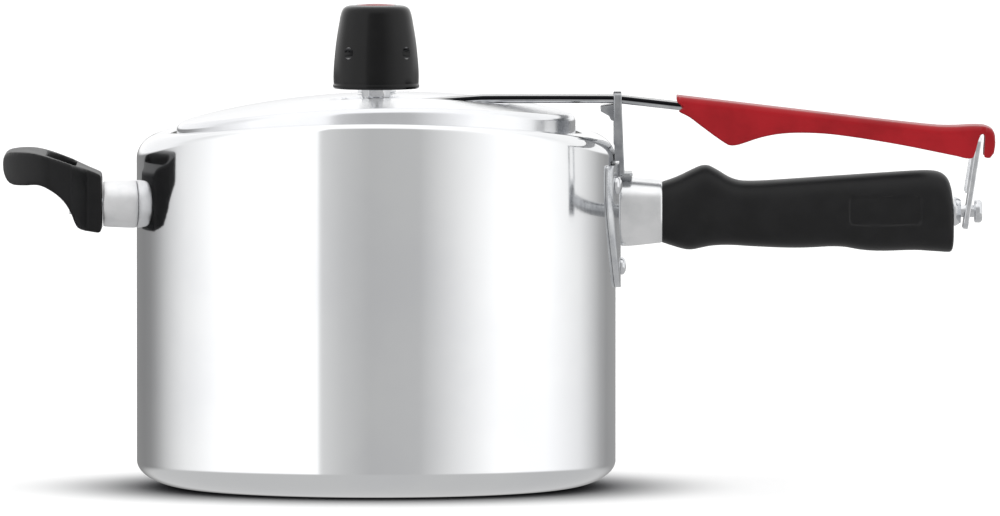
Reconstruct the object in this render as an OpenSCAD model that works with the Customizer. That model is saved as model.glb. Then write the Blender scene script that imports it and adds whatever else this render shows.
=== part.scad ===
// Stove-top pressure canner with an oval lid that seats from inside the pot.
// Frame: origin at the centre of the base, +Z up, the main handle points along +X.

/* [Pot] */
// Outside diameter of the pot
pot_d = 205; // [170:1:250]
// Height of the rim above the base, at its two high sides
rim_h = 159.6; // [120:0.1:210]
// Thickness of the pot wall and of the inward rim
pot_wall = 2.4; // [1.8:0.1:3]
// Thickness of the pot base
base_t = 3.6; // [2.5:0.1:6]
// Width of the rounded corner between base and wall
corner_w = 24; // [12:1:32]
// Height of the rounded corner between base and wall
corner_h = 11.5; // [8:0.5:20]
// Shoulder radius at the two handles
shoulder_side_r = 8.5; // [6:0.5:12]
// Shoulder radius at the two high sides
shoulder_front_r = 2.8; // [2.7:0.1:6]
// Width of the inward rim at the two handles
rim_side_w = 14.4; // [13:0.1:19]
// Width of the inward rim at the two high sides
rim_front_w = 9.5; // [8:0.1:12]
// Radius to which the rim and the lid are bent about a line across the handles
bend_r = 516; // [430:1:620]

/* [Lid] */
// Thickness of the lid sheet
lid_t = 2.2; // [1.6:0.1:2.8]
// Gap between the raised lid and the mouth
mouth_gap = 2.8; // [2.6:0.1:3.4]
// How far the lid flange reaches under the rim
flange_w = 3.5; // [2.5:0.1:4]
// Height of the lid's crown above the rim
crown_h = 7.4; // [6:0.1:12]
// Fall of the dome from its crown to its edge at the two handles, besides the bend
dome_side_fall = 2.2; // [1.5:0.1:4]
// Fall of the dome from its crown to its edge at the two high sides
dome_front_fall = 1.2; // [1:0.1:7]
// Radius of the lid's edge at the two handles
lid_edge_side_r = 2.7; // [2.6:0.1:5]
// Radius of the lid's edge at the two high sides
lid_edge_front_r = 2.9; // [2.6:0.1:6]
// How much the raised lid leans up towards the main handle, per millimetre
lid_lean = 0.022; // [0:0.001:0.03]
// Depth of the seat pressed into the lid for the lever bar
seat_depth = 4.5; // [3:0.1:6]
// Height of the bar at the fork above the bar in its seat
bar_lift = 2.2; // [1:0.1:4]
// Thickness of the gasket lip that seals under the rim
gasket_lip = 1.7; // [1.2:0.1:2.5]
// Thickness of the gasket round the flange edge
gasket_edge = 0.8; // [0.6:0.1:1.2]

/* [Lever] */
// Width of the lever bar
bar_w = 19; // [14:0.5:22]
// Thickness of the lever bar
bar_t = 3.2; // [2:0.1:4]
// Downward slope of the lever outside the fork, in degrees
lever_slope = 6.6; // [4:0.1:9]
// Gap between the grip's side walls and the wider of the bar and the latch link
grip_side_gap = 0.8; // [0.5:0.1:3]
// Wall thickness of the lever grip
grip_wall = 2.2; // [1.6:0.1:2.6]

/* [Handles] */
// Depth of the main handle's axis below the rim
handle_drop = 41.5; // [36:0.1:50]
// Length of the main handle
handle_len = 124.9; // [115:0.1:135]
// Width of the main handle
handle_w = 26; // [20:0.5:32]
// Length of the metal sleeve at the main handle
ferrule_len = 17.5; // [15:0.5:22]
// Wall thickness of the metal sleeves
ferrule_wall = 1.2; // [0.8:0.1:2]
// Radius of the tie rod through the main handle
rod_r = 3; // [2.5:0.1:4]
// Thickness of the plate that carries the main handle
bracket_t = 2.1; // [1.5:0.1:2.5]
// Width across the helper handle
helper_w = 66; // [56:1:80]
// Length of the metal sleeve at the helper handle
helper_ferrule_len = 14.2; // [10:0.1:20]

/* [Latch] */
// Thickness of the latch link
link_t = 2.2; // [1.5:0.1:2.4]
// Width of the latch link
link_w = 19; // [16:0.5:19.5]
// Lean of the latch link when it is locked, in degrees
link_lean = 8.9; // [6:0.1:10]
// Radius of the catch nut's neck
neck_r = 2.6; // [2:0.1:2.8]
// Radius of the catch nut's head
catch_head_r = 4.9; // [4.5:0.1:5]

/* [Pressure weight] */
// Largest radius of the weight
weight_r = 18.6; // [15:0.1:22]
// Height of the weight
weight_h = 36.3; // [30:0.1:42]
// Diameter of the steam holes round the weight
steam_hole_d = 5; // [2:0.1:6]
// Outside radius of the vent tube's thread
vent_r = 4; // [3:0.1:4.6]
// Width of the vent nut across its flats
nut_af = 10.7; // [10.4:0.1:13]
// Height of the vent nut
nut_h = 4.4; // [3:0.1:5]

/* [Hidden] */
$fn = 64;
SEG = 72;            // segments round the pot, the lid and the gasket
GRIP_SEG = 24;       // segments round the main handle and its sleeve
GAP = 0.3;           // gap between faces of pieces that move past each other
FIT = 0.2;           // gap between a fastener and its hole
SEALED = 0.1;        // gap that keeps curved faces apart where a facet would touch

pot_r = pot_d / 2;
inner_r = pot_r - pot_wall;
mouth = [pot_r - rim_side_w, pot_r - rim_front_w];
shoulder_r = [shoulder_side_r, shoulder_front_r];
rim_under_z = rim_h - pot_wall;

// The lid, from its flange up
plateau = [mouth[0] - mouth_gap, mouth[1] - mouth_gap];
flange = [mouth[0] + flange_w, mouth[1] + flange_w];
gasket_top_z = rim_under_z - GAP;
flange_z = gasket_top_z - gasket_lip;
crown_z = rim_h + crown_h;
dome_reach = [plateau[0] - lid_edge_side_r, plateau[1] - lid_edge_front_r];
seat_z = crown_z - seat_depth;
seat_half_w = bar_w / 2 + 1.4;
seat_back = 17;                  // reach of the lever seat behind the vent
bar_low_z = seat_z;
bar_high_z = bar_low_z + bar_lift;
// The seat runs on until the dome has fallen below the raised bar
dome_fall = dome_side_fall / pow(dome_reach[0], 2) + 1 / (2 * bend_r);
seat_front = (lid_lean + sqrt(lid_lean * lid_lean + 4 * dome_fall * (crown_z - bar_high_z))) / (2 * dome_fall) + 3;

// The main handle and its fastening
handle_z = rim_h - handle_drop;
bracket_r = pot_r + SEALED + bracket_t;
ferrule_start = bracket_r + SEALED;
handle_start = ferrule_start + ferrule_len;
handle_end = handle_start + handle_len;

// The catch nut at the handle's end
cone_len = 3;
cone_r = 6.3;
neck_len = 5.8;
catch_head_t = 3.4;
neck_x = handle_end + cone_len + neck_len / 2;

// The lever bar lies in the seat, rises out of it and bends down at the fork
fork_x = pot_r + 0.8;            // middle of the fork's plate
bar_back = 15;
bar_rise_start = 16;
bar_rise_end = 45;
GRIP_DRAWN = 136.6;              // length for which the grip's outline is drawn
GRIP_TAIL = 100;                 // from here on the outline keeps its distance from the grip's end
grip_start = pot_r + 26.1;
grip_len = neck_x + 12.1 - grip_start;
grip_end = grip_start + grip_len;
grip_in_w = max(bar_w, link_w) + 2 * grip_side_gap;
grip_w = grip_in_w + 2 * grip_wall;
bar_end = grip_end - 30;
lever_drop = tan(lever_slope);

// The vent and the weight
vent_hole_r = vent_r + FIT;
washer_t = 0.8;
nut_z = bar_low_z + bar_t + washer_t;
weight_z = nut_z + nut_h - 0.3;
nozzle_r = 2.6;
nozzle_top_z = weight_z + 18;
weight_spread = weight_r / 18.6; // widths of the weight against those drawn
weight_stretch = weight_h / 36.3; // heights of the weight against those drawn
core_r = 8 * weight_spread;
core_bore_r = nozzle_r + 0.8;
seal_t = 1.6;
vent_head_t = 4;
under_seat_z = seat_z - lid_t;

// The safety plug behind the vent
plug_y = 48;
plug_hole_r = 4.4;
plug_seat_r = plug_hole_r + 4;
plug_z = crown_z - dome_front_fall * pow(plug_y / dome_reach[1], 2);
plug_tilt = atan(2 * dome_front_fall * plug_y / pow(dome_reach[1], 2));
plug_seat_h = 1.2;

// The helper handle
helper_z = rim_h - 38.4;
helper_ferrule_h = 20.4;
helper_ferrule_w = 30;
helper_start = pot_r + helper_ferrule_len;
helper_len = 42.8;

ALUMINIUM = [0.82, 0.83, 0.84];
STEEL = [0.66, 0.67, 0.69];
BLACK = [0.09, 0.09, 0.10];
RED = [0.68, 0.10, 0.10];
SILICONE = [0.80, 0.80, 0.78];

// ---- shared shapes ----

// Fall of the bent rim and lid at distance x from the middle
function bend(x) = x * x / (2 * bend_r);

// Level ring of an ellipse with half-axes a and b
function level_oval(a, b, z) = [for (i = [0:SEG - 1]) let (t = 360 * i / SEG) [a * cos(t), b * sin(t), z]];

// The same ring bent with the rim; lean raises it towards +X
function bent_oval(a, b, z, lean = 0) = [for (p = level_oval(a, b, z)) [p[0], p[1], z - bend(p[0]) + lean * p[0]]];

// Ring across X, rounder than a box, of half-width w from bottom to top
function squircle(x, w, bottom, top) =
    [for (i = [0:GRIP_SEG - 1]) let (t = 360 * i / GRIP_SEG, c = cos(t), s = sin(t))
        [x, w * sign(c) * pow(abs(c), 0.75),
         (top + bottom) / 2 + (top - bottom) / 2 * sign(s) * pow(abs(s), 0.75)]];

// The same ring moved towards a wall of radius r that it meets; share is 1 at the wall
function coped(ring, r, share) = [for (p = ring) [p[0] - share * (r - sqrt(r * r - p[1] * p[1])), p[1], p[2]]];

function reversed(list) = [for (i = [len(list) - 1:-1:0]) list[i]];

// Skin through rings of equal length. A looped skin joins its last ring to its first,
// any other has its two end rings capped.
module skin(rings, looped = false) {
    n = len(rings[0]);
    m = len(rings);
    spans = looped ? m : m - 1;
    polyhedron(
        points = [for (ring = rings) each ring],
        faces = concat(
            [for (k = [0:spans - 1], i = [0:n - 1]) let (a = k * n, b = ((k + 1) % m) * n, j = (i + 1) % n)
                each [[a + i, b + j, a + j], [a + i, b + i, b + j]]],
            looped ? [] : [[for (i = [0:n - 1]) i], [for (i = [n - 1:-1:0]) (m - 1) * n + i]]));
}

// Extrusion of an outline drawn in X and Z, centred on Y
module side_extrude(w) {
    translate([0, w / 2, 0]) rotate([90, 0, 0]) linear_extrude(w) children();
}

// Cylinder along +X from x0 to x1 at height z
module x_rod(r, x0, x1, z, y = 0) {
    translate([x0, y, z]) rotate([0, 90, 0]) cylinder(r = r, h = x1 - x0);
}

// ---- pot ----

// Ring of the shoulder: t turns from the upright wall to the rim, inset is the depth below the skin
function shoulder_ring(t, inset) =
    [for (i = [0:SEG - 1]) let (
        a = 360 * i / SEG,
        full_r = shoulder_r[1] + (shoulder_r[0] - shoulder_r[1]) * pow(cos(a), 6),
        r = pot_r - full_r + (full_r - inset) * cos(t),
        x = r * cos(a))
        [x, r * sin(a), rim_h - bend(x) - full_r + (full_r - inset) * sin(t)]];

// Ring of the base corner of width w and height h, t turning from the base to the upright wall
function corner_ring(r, z, w, h, t) =
    level_oval(r - w + w * sin(t), r - w + w * sin(t), z + h * (1 - cos(t)));

module pot_body() {
    arc = [0, 22, 45, 68, 90];
    lip = 0.6;
    color(ALUMINIUM) skin(concat(
        [for (t = arc) corner_ring(pot_r, 0, corner_w, corner_h, t)],
        [for (t = arc) shoulder_ring(t, 0)],
        [bent_oval(mouth[0] + lip, mouth[1] + lip, rim_h), bent_oval(mouth[0], mouth[1], rim_h - lip),
         bent_oval(mouth[0], mouth[1], rim_under_z + lip),
         bent_oval(mouth[0] + lip, mouth[1] + lip, rim_under_z)],
        [for (t = reversed(arc)) shoulder_ring(t, pot_wall)],
        [for (t = reversed(arc)) corner_ring(inner_r, base_t, corner_w - pot_wall, corner_h - base_t, t)]));
}

// ---- lid ----

// Fall of the dome at its edge, in direction a
function edge_fall(a) = dome_front_fall + (dome_side_fall - dome_front_fall) * pow(cos(a), 2);

// Ring of the dome at share s of its reach, inset below the skin
function dome_ring(s, inset) =
    [for (i = [0:SEG - 1]) let (a = 360 * i / SEG, x = dome_reach[0] * s * cos(a))
        [x, dome_reach[1] * s * sin(a), crown_z - inset - edge_fall(a) * s * s - bend(x) + lid_lean * x]];

// Ring of the lid's edge: t turns from its dome to its upright wall, inset is the depth below the skin
function edge_ring(t, inset) =
    [for (i = [0:SEG - 1]) let (
        a = 360 * i / SEG,
        full_r = lid_edge_front_r + (lid_edge_side_r - lid_edge_front_r) * pow(cos(a), 2),
        reach = (full_r - inset) * sin(t) - full_r,
        x = (plateau[0] + reach) * cos(a))
        [x, (plateau[1] + reach) * sin(a),
         crown_z - edge_fall(a) - full_r + (full_r - inset) * cos(t) - bend(x) + lid_lean * x]];

// Rings from the crown out over the dome and round the lid's edge, inset below the skin
function dome_rings(inset) = concat(
    [for (s = [0.12, 0.3, 0.5, 0.7, 0.86, 0.97]) dome_ring(s, inset)],
    [for (t = [15, 35, 60, 90]) edge_ring(t, inset)]);

// Places children on the dome at the safety plug, square to it
module on_plug() {
    translate([0, plug_y, plug_z]) rotate([-plug_tilt, 0, 0]) children();
}

module lid() {
    seat_len = seat_back + seat_front;
    color(ALUMINIUM) difference() {
        union() {
            skin(concat(
                dome_rings(lid_t),
                [bent_oval(plateau[0] - lid_t, plateau[1] - lid_t, flange_z - lid_t),
                 bent_oval(flange[0], flange[1], flange_z - lid_t),
                 bent_oval(flange[0], flange[1], flange_z),
                 bent_oval(plateau[0], plateau[1], flange_z)],
                reversed(dome_rings(0))));
            intersection() {
                translate([-seat_back - lid_t, -seat_half_w - lid_t, under_seat_z])
                    cube([seat_len + 2 * lid_t, 2 * (seat_half_w + lid_t), lid_t + seat_depth]);
                skin(concat([level_oval(plateau[0], plateau[1], flange_z - lid_t)], reversed(dome_rings(lid_t / 4))));
            }
        }
        translate([-seat_back, -seat_half_w, seat_z]) cube([seat_len, 2 * seat_half_w, seat_depth * 2]);
        translate([0, 0, flange_z]) cylinder(r = vent_hole_r, h = crown_z - flange_z);
        on_plug() translate([0, 0, -2 * lid_t]) cylinder(r = plug_hole_r, h = 4 * lid_t);
    }
}

module lid_gasket() {
    inner = [flange[0] + SEALED / 2, flange[1] + SEALED / 2];
    outer = [flange[0] + gasket_edge, flange[1] + gasket_edge];
    low_z = flange_z + SEALED / 2;
    bevel = 0.5;
    color(SILICONE) skin([
        bent_oval(inner[0], inner[1], flange_z - lid_t),
        bent_oval(outer[0], outer[1], flange_z - lid_t),
        bent_oval(outer[0], outer[1], gasket_top_z - bevel),
        bent_oval(outer[0] - bevel, outer[1] - bevel, gasket_top_z),
        bent_oval(mouth[0] - 1, mouth[1] - 1, gasket_top_z),
        bent_oval(mouth[0] - 1, mouth[1] - 1, low_z),
        bent_oval(inner[0], inner[1], low_z)], looped = true);
}

// ---- vent and safety plug ----

module vent_tube() {
    head_z = under_seat_z - seal_t - vent_head_t;
    bore_r = 1.4;
    color(STEEL) rotate_extrude() polygon([
        [bore_r, head_z - 3], [vent_r, head_z - 3], [vent_r, head_z], [vent_r + 4, head_z],
        [vent_r + 4, head_z + vent_head_t], [vent_r, head_z + vent_head_t], [vent_r, nut_z + nut_h],
        [nozzle_r, nut_z + nut_h + 0.8], [nozzle_r, nozzle_top_z - 1.4], [bore_r + 0.4, nozzle_top_z],
        [bore_r, nozzle_top_z]]);
}

module vent_seal() {
    color(SILICONE) translate([0, 0, under_seat_z - seal_t]) difference() {
        cylinder(r = vent_r + 4.5, h = seal_t);
        translate([0, 0, -1]) cylinder(r = vent_hole_r, h = seal_t + 2);
    }
}

module vent_washer() {
    color(STEEL) translate([0, 0, nut_z - washer_t]) difference() {
        cylinder(r = nut_af / 2 + 0.4, h = washer_t);
        translate([0, 0, -1]) cylinder(r = vent_hole_r, h = washer_t + 2);
    }
}

module vent_nut() {
    color(STEEL) translate([0, 0, nut_z]) difference() {
        rotate([0, 0, 30]) cylinder(d = nut_af / cos(30), h = nut_h, $fn = 6);
        translate([0, 0, -1]) cylinder(r = vent_hole_r, h = nut_h + 2);
    }
}

module safety_seat() {
    color(STEEL) on_plug() translate([0, 0, GAP]) difference() {
        cylinder(r = plug_seat_r, h = plug_seat_h);
        translate([0, 0, -1]) cylinder(r = plug_hole_r, h = plug_seat_h + 2);
    }
}

module safety_plug() {
    stem_r = plug_hole_r - FIT;
    top = GAP + plug_seat_h;
    low = -lid_t - 1;
    color(SILICONE) on_plug() rotate_extrude() polygon([
        [0, low - 3], [stem_r, low - 3], [stem_r + 2.2, low - 1.5], [stem_r + 2.2, low],
        [stem_r, low], [stem_r, top], [stem_r + 2.6, top], [stem_r + 2.2, top + 1.8],
        [stem_r, top + 2.8], [0, top + 3.2]]);
}

// ---- lever ----

// Underside height of the bar at x, outside the fork
function bar_under(x) = bar_high_z - lever_drop * (x - fork_x);

module lever_bar() {
    end_z = bar_under(bar_end);
    color(STEEL) difference() {
        side_extrude(bar_w) polygon([
            [-bar_back, bar_low_z], [bar_rise_start, bar_low_z], [bar_rise_end, bar_high_z],
            [fork_x, bar_high_z], [bar_end, end_z], [bar_end, end_z + bar_t],
            [fork_x, bar_high_z + bar_t], [bar_rise_end, bar_high_z + bar_t],
            [bar_rise_start, bar_low_z + bar_t], [-bar_back, bar_low_z + bar_t]]);
        translate([0, 0, bar_low_z - 1]) cylinder(r = vent_hole_r, h = bar_t + 2);
        for (x = screw_x) on_lever(x) translate([0, 0, -1]) cylinder(r = screw_r + FIT, h = bar_t + 2);
    }
}

screw_x = [grip_start + 44, bar_end - 14.6];
screw_r = 1.8;

// Places children on the bar's underside at x, square to the bar
module on_lever(x) {
    translate([x, 0, bar_under(x)]) rotate([0, lever_slope, 0]) children();
}

// Outline point of the grip: dx from its start, depth below the line of the bar's top
function grip_point(dx, depth) = let (x = grip_start + dx + (dx > GRIP_TAIL ? grip_len - GRIP_DRAWN : 0))
    [x, bar_under(x) + bar_t - depth];

module lever_grip() {
    roof = [[0, -2.7], [112, -2.7], [124, -4.2], [131, -5.2], [134, -4.6], [136.6, -1.8], [136.6, 2.2]];
    hook = [[134.9, 5.9], [134.7, 8], [131.8, 8], [132, 5], [133, 2], [133.4, -0.6], [131.4, -2]];
    belly = [[129.4, -0.4], [128.4, 2], [129, 4.2], [128.2, 7], [125.8, 9.2], [115.3, 8.4], [93.9, 6.6],
             [70, 5.6], [58, 6], [45.9, 7.6], [36.3, 10.4], [27.7, 14.4], [24.3, 15.6], [20.7, 15],
             [9.8, 8.4], [0, 3.6]];
    roof_line = [for (p = [[-1, -SEALED], [112, -SEALED], [124, -2], [129.3, -2.6], [131.2, -1.6]]) grip_point(p[0], p[1])];
    floor_line = [[131.8, 24], [-1, 24]];
    color(RED) difference() {
        side_extrude(grip_w) polygon([for (p = concat(roof, hook, belly)) grip_point(p[0], p[1])]);
        side_extrude(grip_in_w)
            polygon(concat(roof_line, [for (p = floor_line) grip_point(p[0], p[1])]));
        for (x = screw_x) on_lever(x) cylinder(r = screw_r + FIT, h = bar_t + 1.8);
    }
}

module lever_grip_screws() {
    color(STEEL) for (x = screw_x) on_lever(x) {
        translate([0, 0, -2]) cylinder(r = screw_r + 2.4, h = 2);
        translate([0, 0, -1]) cylinder(r = screw_r, h = bar_t + 2.6);
    }
}

// ---- main handle ----

module handle_bracket() {
    top = 20.6;
    low = -32.3;
    color(STEEL) difference() {
        intersection() {
            translate([0, 0, handle_z + low]) difference() {
                cylinder(r = bracket_r, h = top - low);
                translate([0, 0, -1]) cylinder(r = pot_r + SEALED, h = top - low + 2);
            }
            translate([0, 0, handle_z]) rotate([90, 0, 90]) linear_extrude(bracket_r + 1) polygon([
                [-30, top], [-30, 4], [-24, -12], [-15, -28], [-9, low], [9, low], [15, -28], [24, -12],
                [30, 4], [30, top]]);
        }
        x_rod(rod_r + FIT, inner_r, bracket_r + 1, handle_z);
    }
}

module bracket_rivets() {
    head_t = 2.2;
    head_r = 3.85;
    spots = [[-20, 12], [20, 12], [0, -23.4]];
    color(STEEL) for (p = spots) {
        x = sqrt(bracket_r * bracket_r - p[0] * p[0]);
        a = asin(p[0] / bracket_r);
        rotate([0, 0, a]) {
            x_rod(head_r, bracket_r + 0.02, bracket_r + head_t, handle_z + p[1]);
            x_rod(head_r, inner_r - head_t, inner_r - 2 * SEALED, handle_z + p[1]);
        }
    }
}

// Sheet fork that carries the bar on a tab, with its foot on the sleeve
module fork() {
    fork_t = 3.4;
    foot_t = 1.4;
    foot_len = 6;
    tab_len = 5.6;
    foot_z = handle_z + ferrule_h / 2 + 0.4;
    slot_w = bar_w + 2 * GAP + 0.4;
    slot_z = bar_high_z - GAP - 0.2;
    back_x = fork_x - fork_t / 2;
    clear_top = rim_h - bend(pot_r) - 1;
    color(STEEL) difference() {
        union() {
            translate([back_x, 0, foot_z]) rotate([90, 0, 90]) linear_extrude(fork_t) polygon([
                [-13, 0], [13, 0], [13, 14], [15.5, 24], [15.5, bar_high_z + 4.2 - foot_z],
                [-15.5, bar_high_z + 4.2 - foot_z], [-15.5, 24], [-13, 14]]);
            translate([bracket_r - 1, -13, foot_z]) cube([foot_len, 26, foot_t]);
            side_extrude(bar_w - 2) polygon([[back_x + 1, slot_z], [back_x - tab_len, slot_z - 0.9],
                [back_x - tab_len, slot_z - 3], [back_x - 2, slot_z - 5], [back_x - 1, slot_z - 7],
                [back_x + 1, slot_z - 7]]);
        }
        translate([fork_x - 5, -slot_w / 2, slot_z]) cube([10, slot_w, 10]);
        translate([0, 0, foot_z - 1]) cylinder(r = bracket_r + SEALED, h = handle_z + 20.8 - foot_z + 1.2);
        translate([0, 0, foot_z - 1]) cylinder(r = pot_r + GAP, h = clear_top - foot_z + 1);
    }
}

module handle_rod() {
    color(STEEL) x_rod(rod_r, pot_r + SEALED, handle_end + cone_len - 0.8, handle_z);
}

ferrule_h = 30;

module handle_ferrule() {
    profile = [[0, 14.2, ferrule_h / 2], [5, 14, 14.8], [12, 13, 14], [ferrule_len, 12.2, 13.4]];
    color(ALUMINIUM) skin(concat(
        [for (p = profile) coped(squircle(ferrule_start + p[0], p[1], handle_z - p[2], handle_z + p[2]),
            bracket_r, 1 - p[0] / ferrule_len)],
        [for (p = reversed(profile)) coped(squircle(ferrule_start + p[0], p[1] - ferrule_wall,
            handle_z - p[2] + ferrule_wall, handle_z + p[2] - ferrule_wall),
            bracket_r, 1 - p[0] / ferrule_len)]), looped = true);
}

module main_handle() {
    // Distance from the sleeve, half-width as a share of the widest, underside and top about the axis
    shape = [[0.1, 0.92, -13.6, 12.8], [7, 1, -15.6, 15], [12, 1, -16.6, 17.5], [18.3, 1, -15.4, 19.8],
             [23, 1, -14.6, 18.1], [30.3, 1, -14.4, 13.8], [38, 1, -15, 12.7], [58.5, 1, -15.8, 13.4],
             [76, 1, -14.8, 15.9], [85, 1, -16.8, 15.7], [94, 1, -17, 16], [114, 1, -16.2, 17.8],
             [120, 0.97, -17.4, 15.3], [123, 0.88, -17, 10.5], [124.9, 0.72, -12, 5]];
    stretch = handle_len / 124.9;
    color(BLACK) difference() {
        skin([for (p = shape) squircle(handle_start + p[0] * stretch, p[1] * handle_w / 2,
                                       handle_z + p[2], handle_z + p[3])]);
        x_rod(rod_r + FIT, handle_start - 1, handle_end + 1, handle_z);
    }
}

module catch_nut() {
    bore_depth = cone_len - 0.6;
    color(STEEL) translate([handle_end, 0, handle_z]) rotate([0, 90, 0]) rotate_extrude() polygon([
        [rod_r + FIT, 0.1], [cone_r, 0.1], [cone_r, 0.8], [catch_head_r, cone_len], [neck_r, cone_len],
        [neck_r, cone_len + neck_len], [catch_head_r - 0.6, cone_len + neck_len],
        [catch_head_r, cone_len + neck_len + 0.6], [catch_head_r, cone_len + neck_len + catch_head_t - 1],
        [catch_head_r - 1.2, cone_len + neck_len + catch_head_t], [0, cone_len + neck_len + catch_head_t],
        [0, bore_depth], [rod_r + FIT, bore_depth]]);
}

// ---- latch ----

// Plate hung on the catch nut's neck; its top stands behind the grip's hook
module latch_link() {
    below = 7.4;
    above = (bar_under(neck_x) + bar_t - 0.46 - handle_z) / cos(link_lean);
    hole_r = neck_r + 1;
    window_low = 8;
    window_high = above - 4.5;
    window_w = link_w - 8;
    color(STEEL) translate([neck_x, 0, handle_z]) rotate([0, link_lean, 0]) difference() {
        translate([-link_t / 2, -link_w / 2, -below]) cube([link_t, link_w, above + below]);
        rotate([0, 90, 0]) translate([0, 0, -link_t]) cylinder(r = hole_r, h = 2 * link_t);
        translate([-link_t, -window_w / 2, window_low]) cube([2 * link_t, window_w, window_high - window_low]);
    }
}

// ---- helper handle ----

module helper_bolt() {
    head_t = 2;
    color(STEEL) {
        x_rod(2.5, -helper_start - 12.2, -pot_r - SEALED, helper_z);
        x_rod(6, -inner_r + 4 * SEALED, -inner_r + head_t + 4 * SEALED, helper_z);
    }
}

module helper_ferrule() {
    profile = [[0, 1], [5, 0.985], [helper_ferrule_len - 0.1, 0.95]];
    w = helper_ferrule_w / 2;
    h = helper_ferrule_h / 2;
    color(ALUMINIUM) translate([-pot_r - 2 * SEALED, 0, 0]) mirror([1, 0, 0]) skin(concat(
        [for (p = profile) coped(squircle(p[0], w * p[1], helper_z - h * p[1], helper_z + h * p[1]),
            pot_r, 1 - p[0] / helper_ferrule_len)],
        [for (p = reversed(profile)) coped(squircle(p[0], w * p[1] - ferrule_wall,
            helper_z - h * p[1] + ferrule_wall, helper_z + h * p[1] - ferrule_wall),
            pot_r, 1 - p[0] / helper_ferrule_len)]), looped = true);
}

module helper_handle() {
    // Distance from the sleeve and height about the axis, round the side outline
    side = [[0.2, 11.8], [10, 16.2], [21, 19.4], [27, 22.2], [35, 22.7], [40.5, 22.3], [42.8, 17],
            [41.5, 12], [37.6, 8.8], [32, 9], [26.4, 9.4], [21.3, 7], [16.6, 3.2], [13.2, -2], [11, -8],
            [9.2, -10.2], [0.2, -11.4]];
    base_half = helper_ferrule_w / 2 + 1;
    mid = 22;
    far = helper_len - mid;
    hole_near = 11.5;
    hole_far = 24;
    hole_half = helper_w / 2 - 13;
    plan = concat(
        [[0, base_half], [6, base_half + 1], [13, helper_w / 2 - 4]],
        [for (t = [90:-10:-90]) [mid + far * cos(t) * 1.02, helper_w / 2 * sin(t)]],
        [[13, 4 - helper_w / 2], [6, -base_half - 1], [0, -base_half]]);
    color(BLACK) translate([-helper_start - 2 * SEALED, 0, helper_z]) mirror([1, 0, 0]) difference() {
        intersection() {
            side_extrude(helper_w + 2) polygon(side);
            translate([0, 0, -20]) linear_extrude(50) polygon(plan);
        }
        translate([0, 0, -20]) linear_extrude(50) {
            translate([hole_near, -hole_half]) square([hole_far - hole_near, 2 * hole_half]);
            for (s = [-1, 1]) translate([(hole_near + hole_far) / 2, s * hole_half])
                circle(r = (hole_far - hole_near) / 2);
        }
        x_rod(2.5 + FIT, -1, hole_near + 1, 0);
    }
}

module helper_nut() {
    nut_x = -helper_start - 11.8;
    color(STEEL) translate([nut_x - 2.8, 0, helper_z]) rotate([0, 90, 0]) difference() {
        cylinder(r = 5, h = 2.5, $fn = 6);
        translate([0, 0, -1]) cylinder(r = 2.5 + FIT, h = 4.5);
    }
}

// ---- pressure weight ----

module weight_cover() {
    hole_z = 15.6 * weight_stretch;
    // Radius and height up the outside, then down the inside
    outside = [[17.6, 0], [18.4, 0.7], [18.6, 2.4], [18.4, 7], [18, 12], [17.4, 17.5], [16.7, 23], [15.8, 28],
               [15.2, 31], [14.6, 33], [13.7, 34.4], [12.2, 35.2], [8.6, 35.8]];
    inside = [[8.6, 34.2], [11.8, 33.6], [13, 32.2], [13.8, 29], [14.6, 25], [15.7, 18], [16.5, 10],
              [17, 3], [16.8, 0.4]];
    color(BLACK) translate([0, 0, weight_z]) difference() {
        rotate_extrude() polygon([for (p = concat(outside, inside)) [p[0] * weight_spread, p[1] * weight_stretch]]);
        for (a = [48:90:318]) rotate([0, 0, a]) x_rod(steam_hole_d / 2, core_r + 2, weight_r + 2, hole_z);
    }
}

module weight_core() {
    top = 34 * weight_stretch;
    foot = 5;
    seat = nozzle_top_z - weight_z + GAP;
    color(STEEL) translate([0, 0, weight_z]) rotate_extrude() polygon([
        [0, seat], [core_bore_r, seat], [core_bore_r, foot], [core_r - 1, foot], [core_r, foot + 1],
        [core_r, top], [0, top]]);
}

module weight_badge() {
    outline = [[0, 34.05], [8.3, 34.05], [8.3, 35.6], [7, 36], [4, 36.25], [0, 36.3]];
    color(RED) translate([0, 0, weight_z])
        rotate_extrude() polygon([for (p = outline) [p[0] * weight_spread, p[1] * weight_stretch]]);
}

pot_body();
lid();
lid_gasket();
vent_tube();
vent_seal();
vent_washer();
vent_nut();
safety_plug();
safety_seat();
lever_bar();
lever_grip();
lever_grip_screws();
handle_bracket();
bracket_rivets();
fork();
handle_rod();
handle_ferrule();
main_handle();
catch_nut();
latch_link();
helper_bolt();
helper_ferrule();
helper_handle();
helper_nut();
weight_cover();
weight_core();
weight_badge();
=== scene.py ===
"""Looks of a stove-top pressure canner with an inside-seating lid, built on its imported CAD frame.

Every length in this file is in millimetres in the row frame (origin at the centre of the base, +Z up,
main handle along +X) until a mesh is made, which turns it into metres.
"""

import logging
import math
from dataclasses import dataclass
from enum import Enum
from typing import Optional, Sequence

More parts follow.
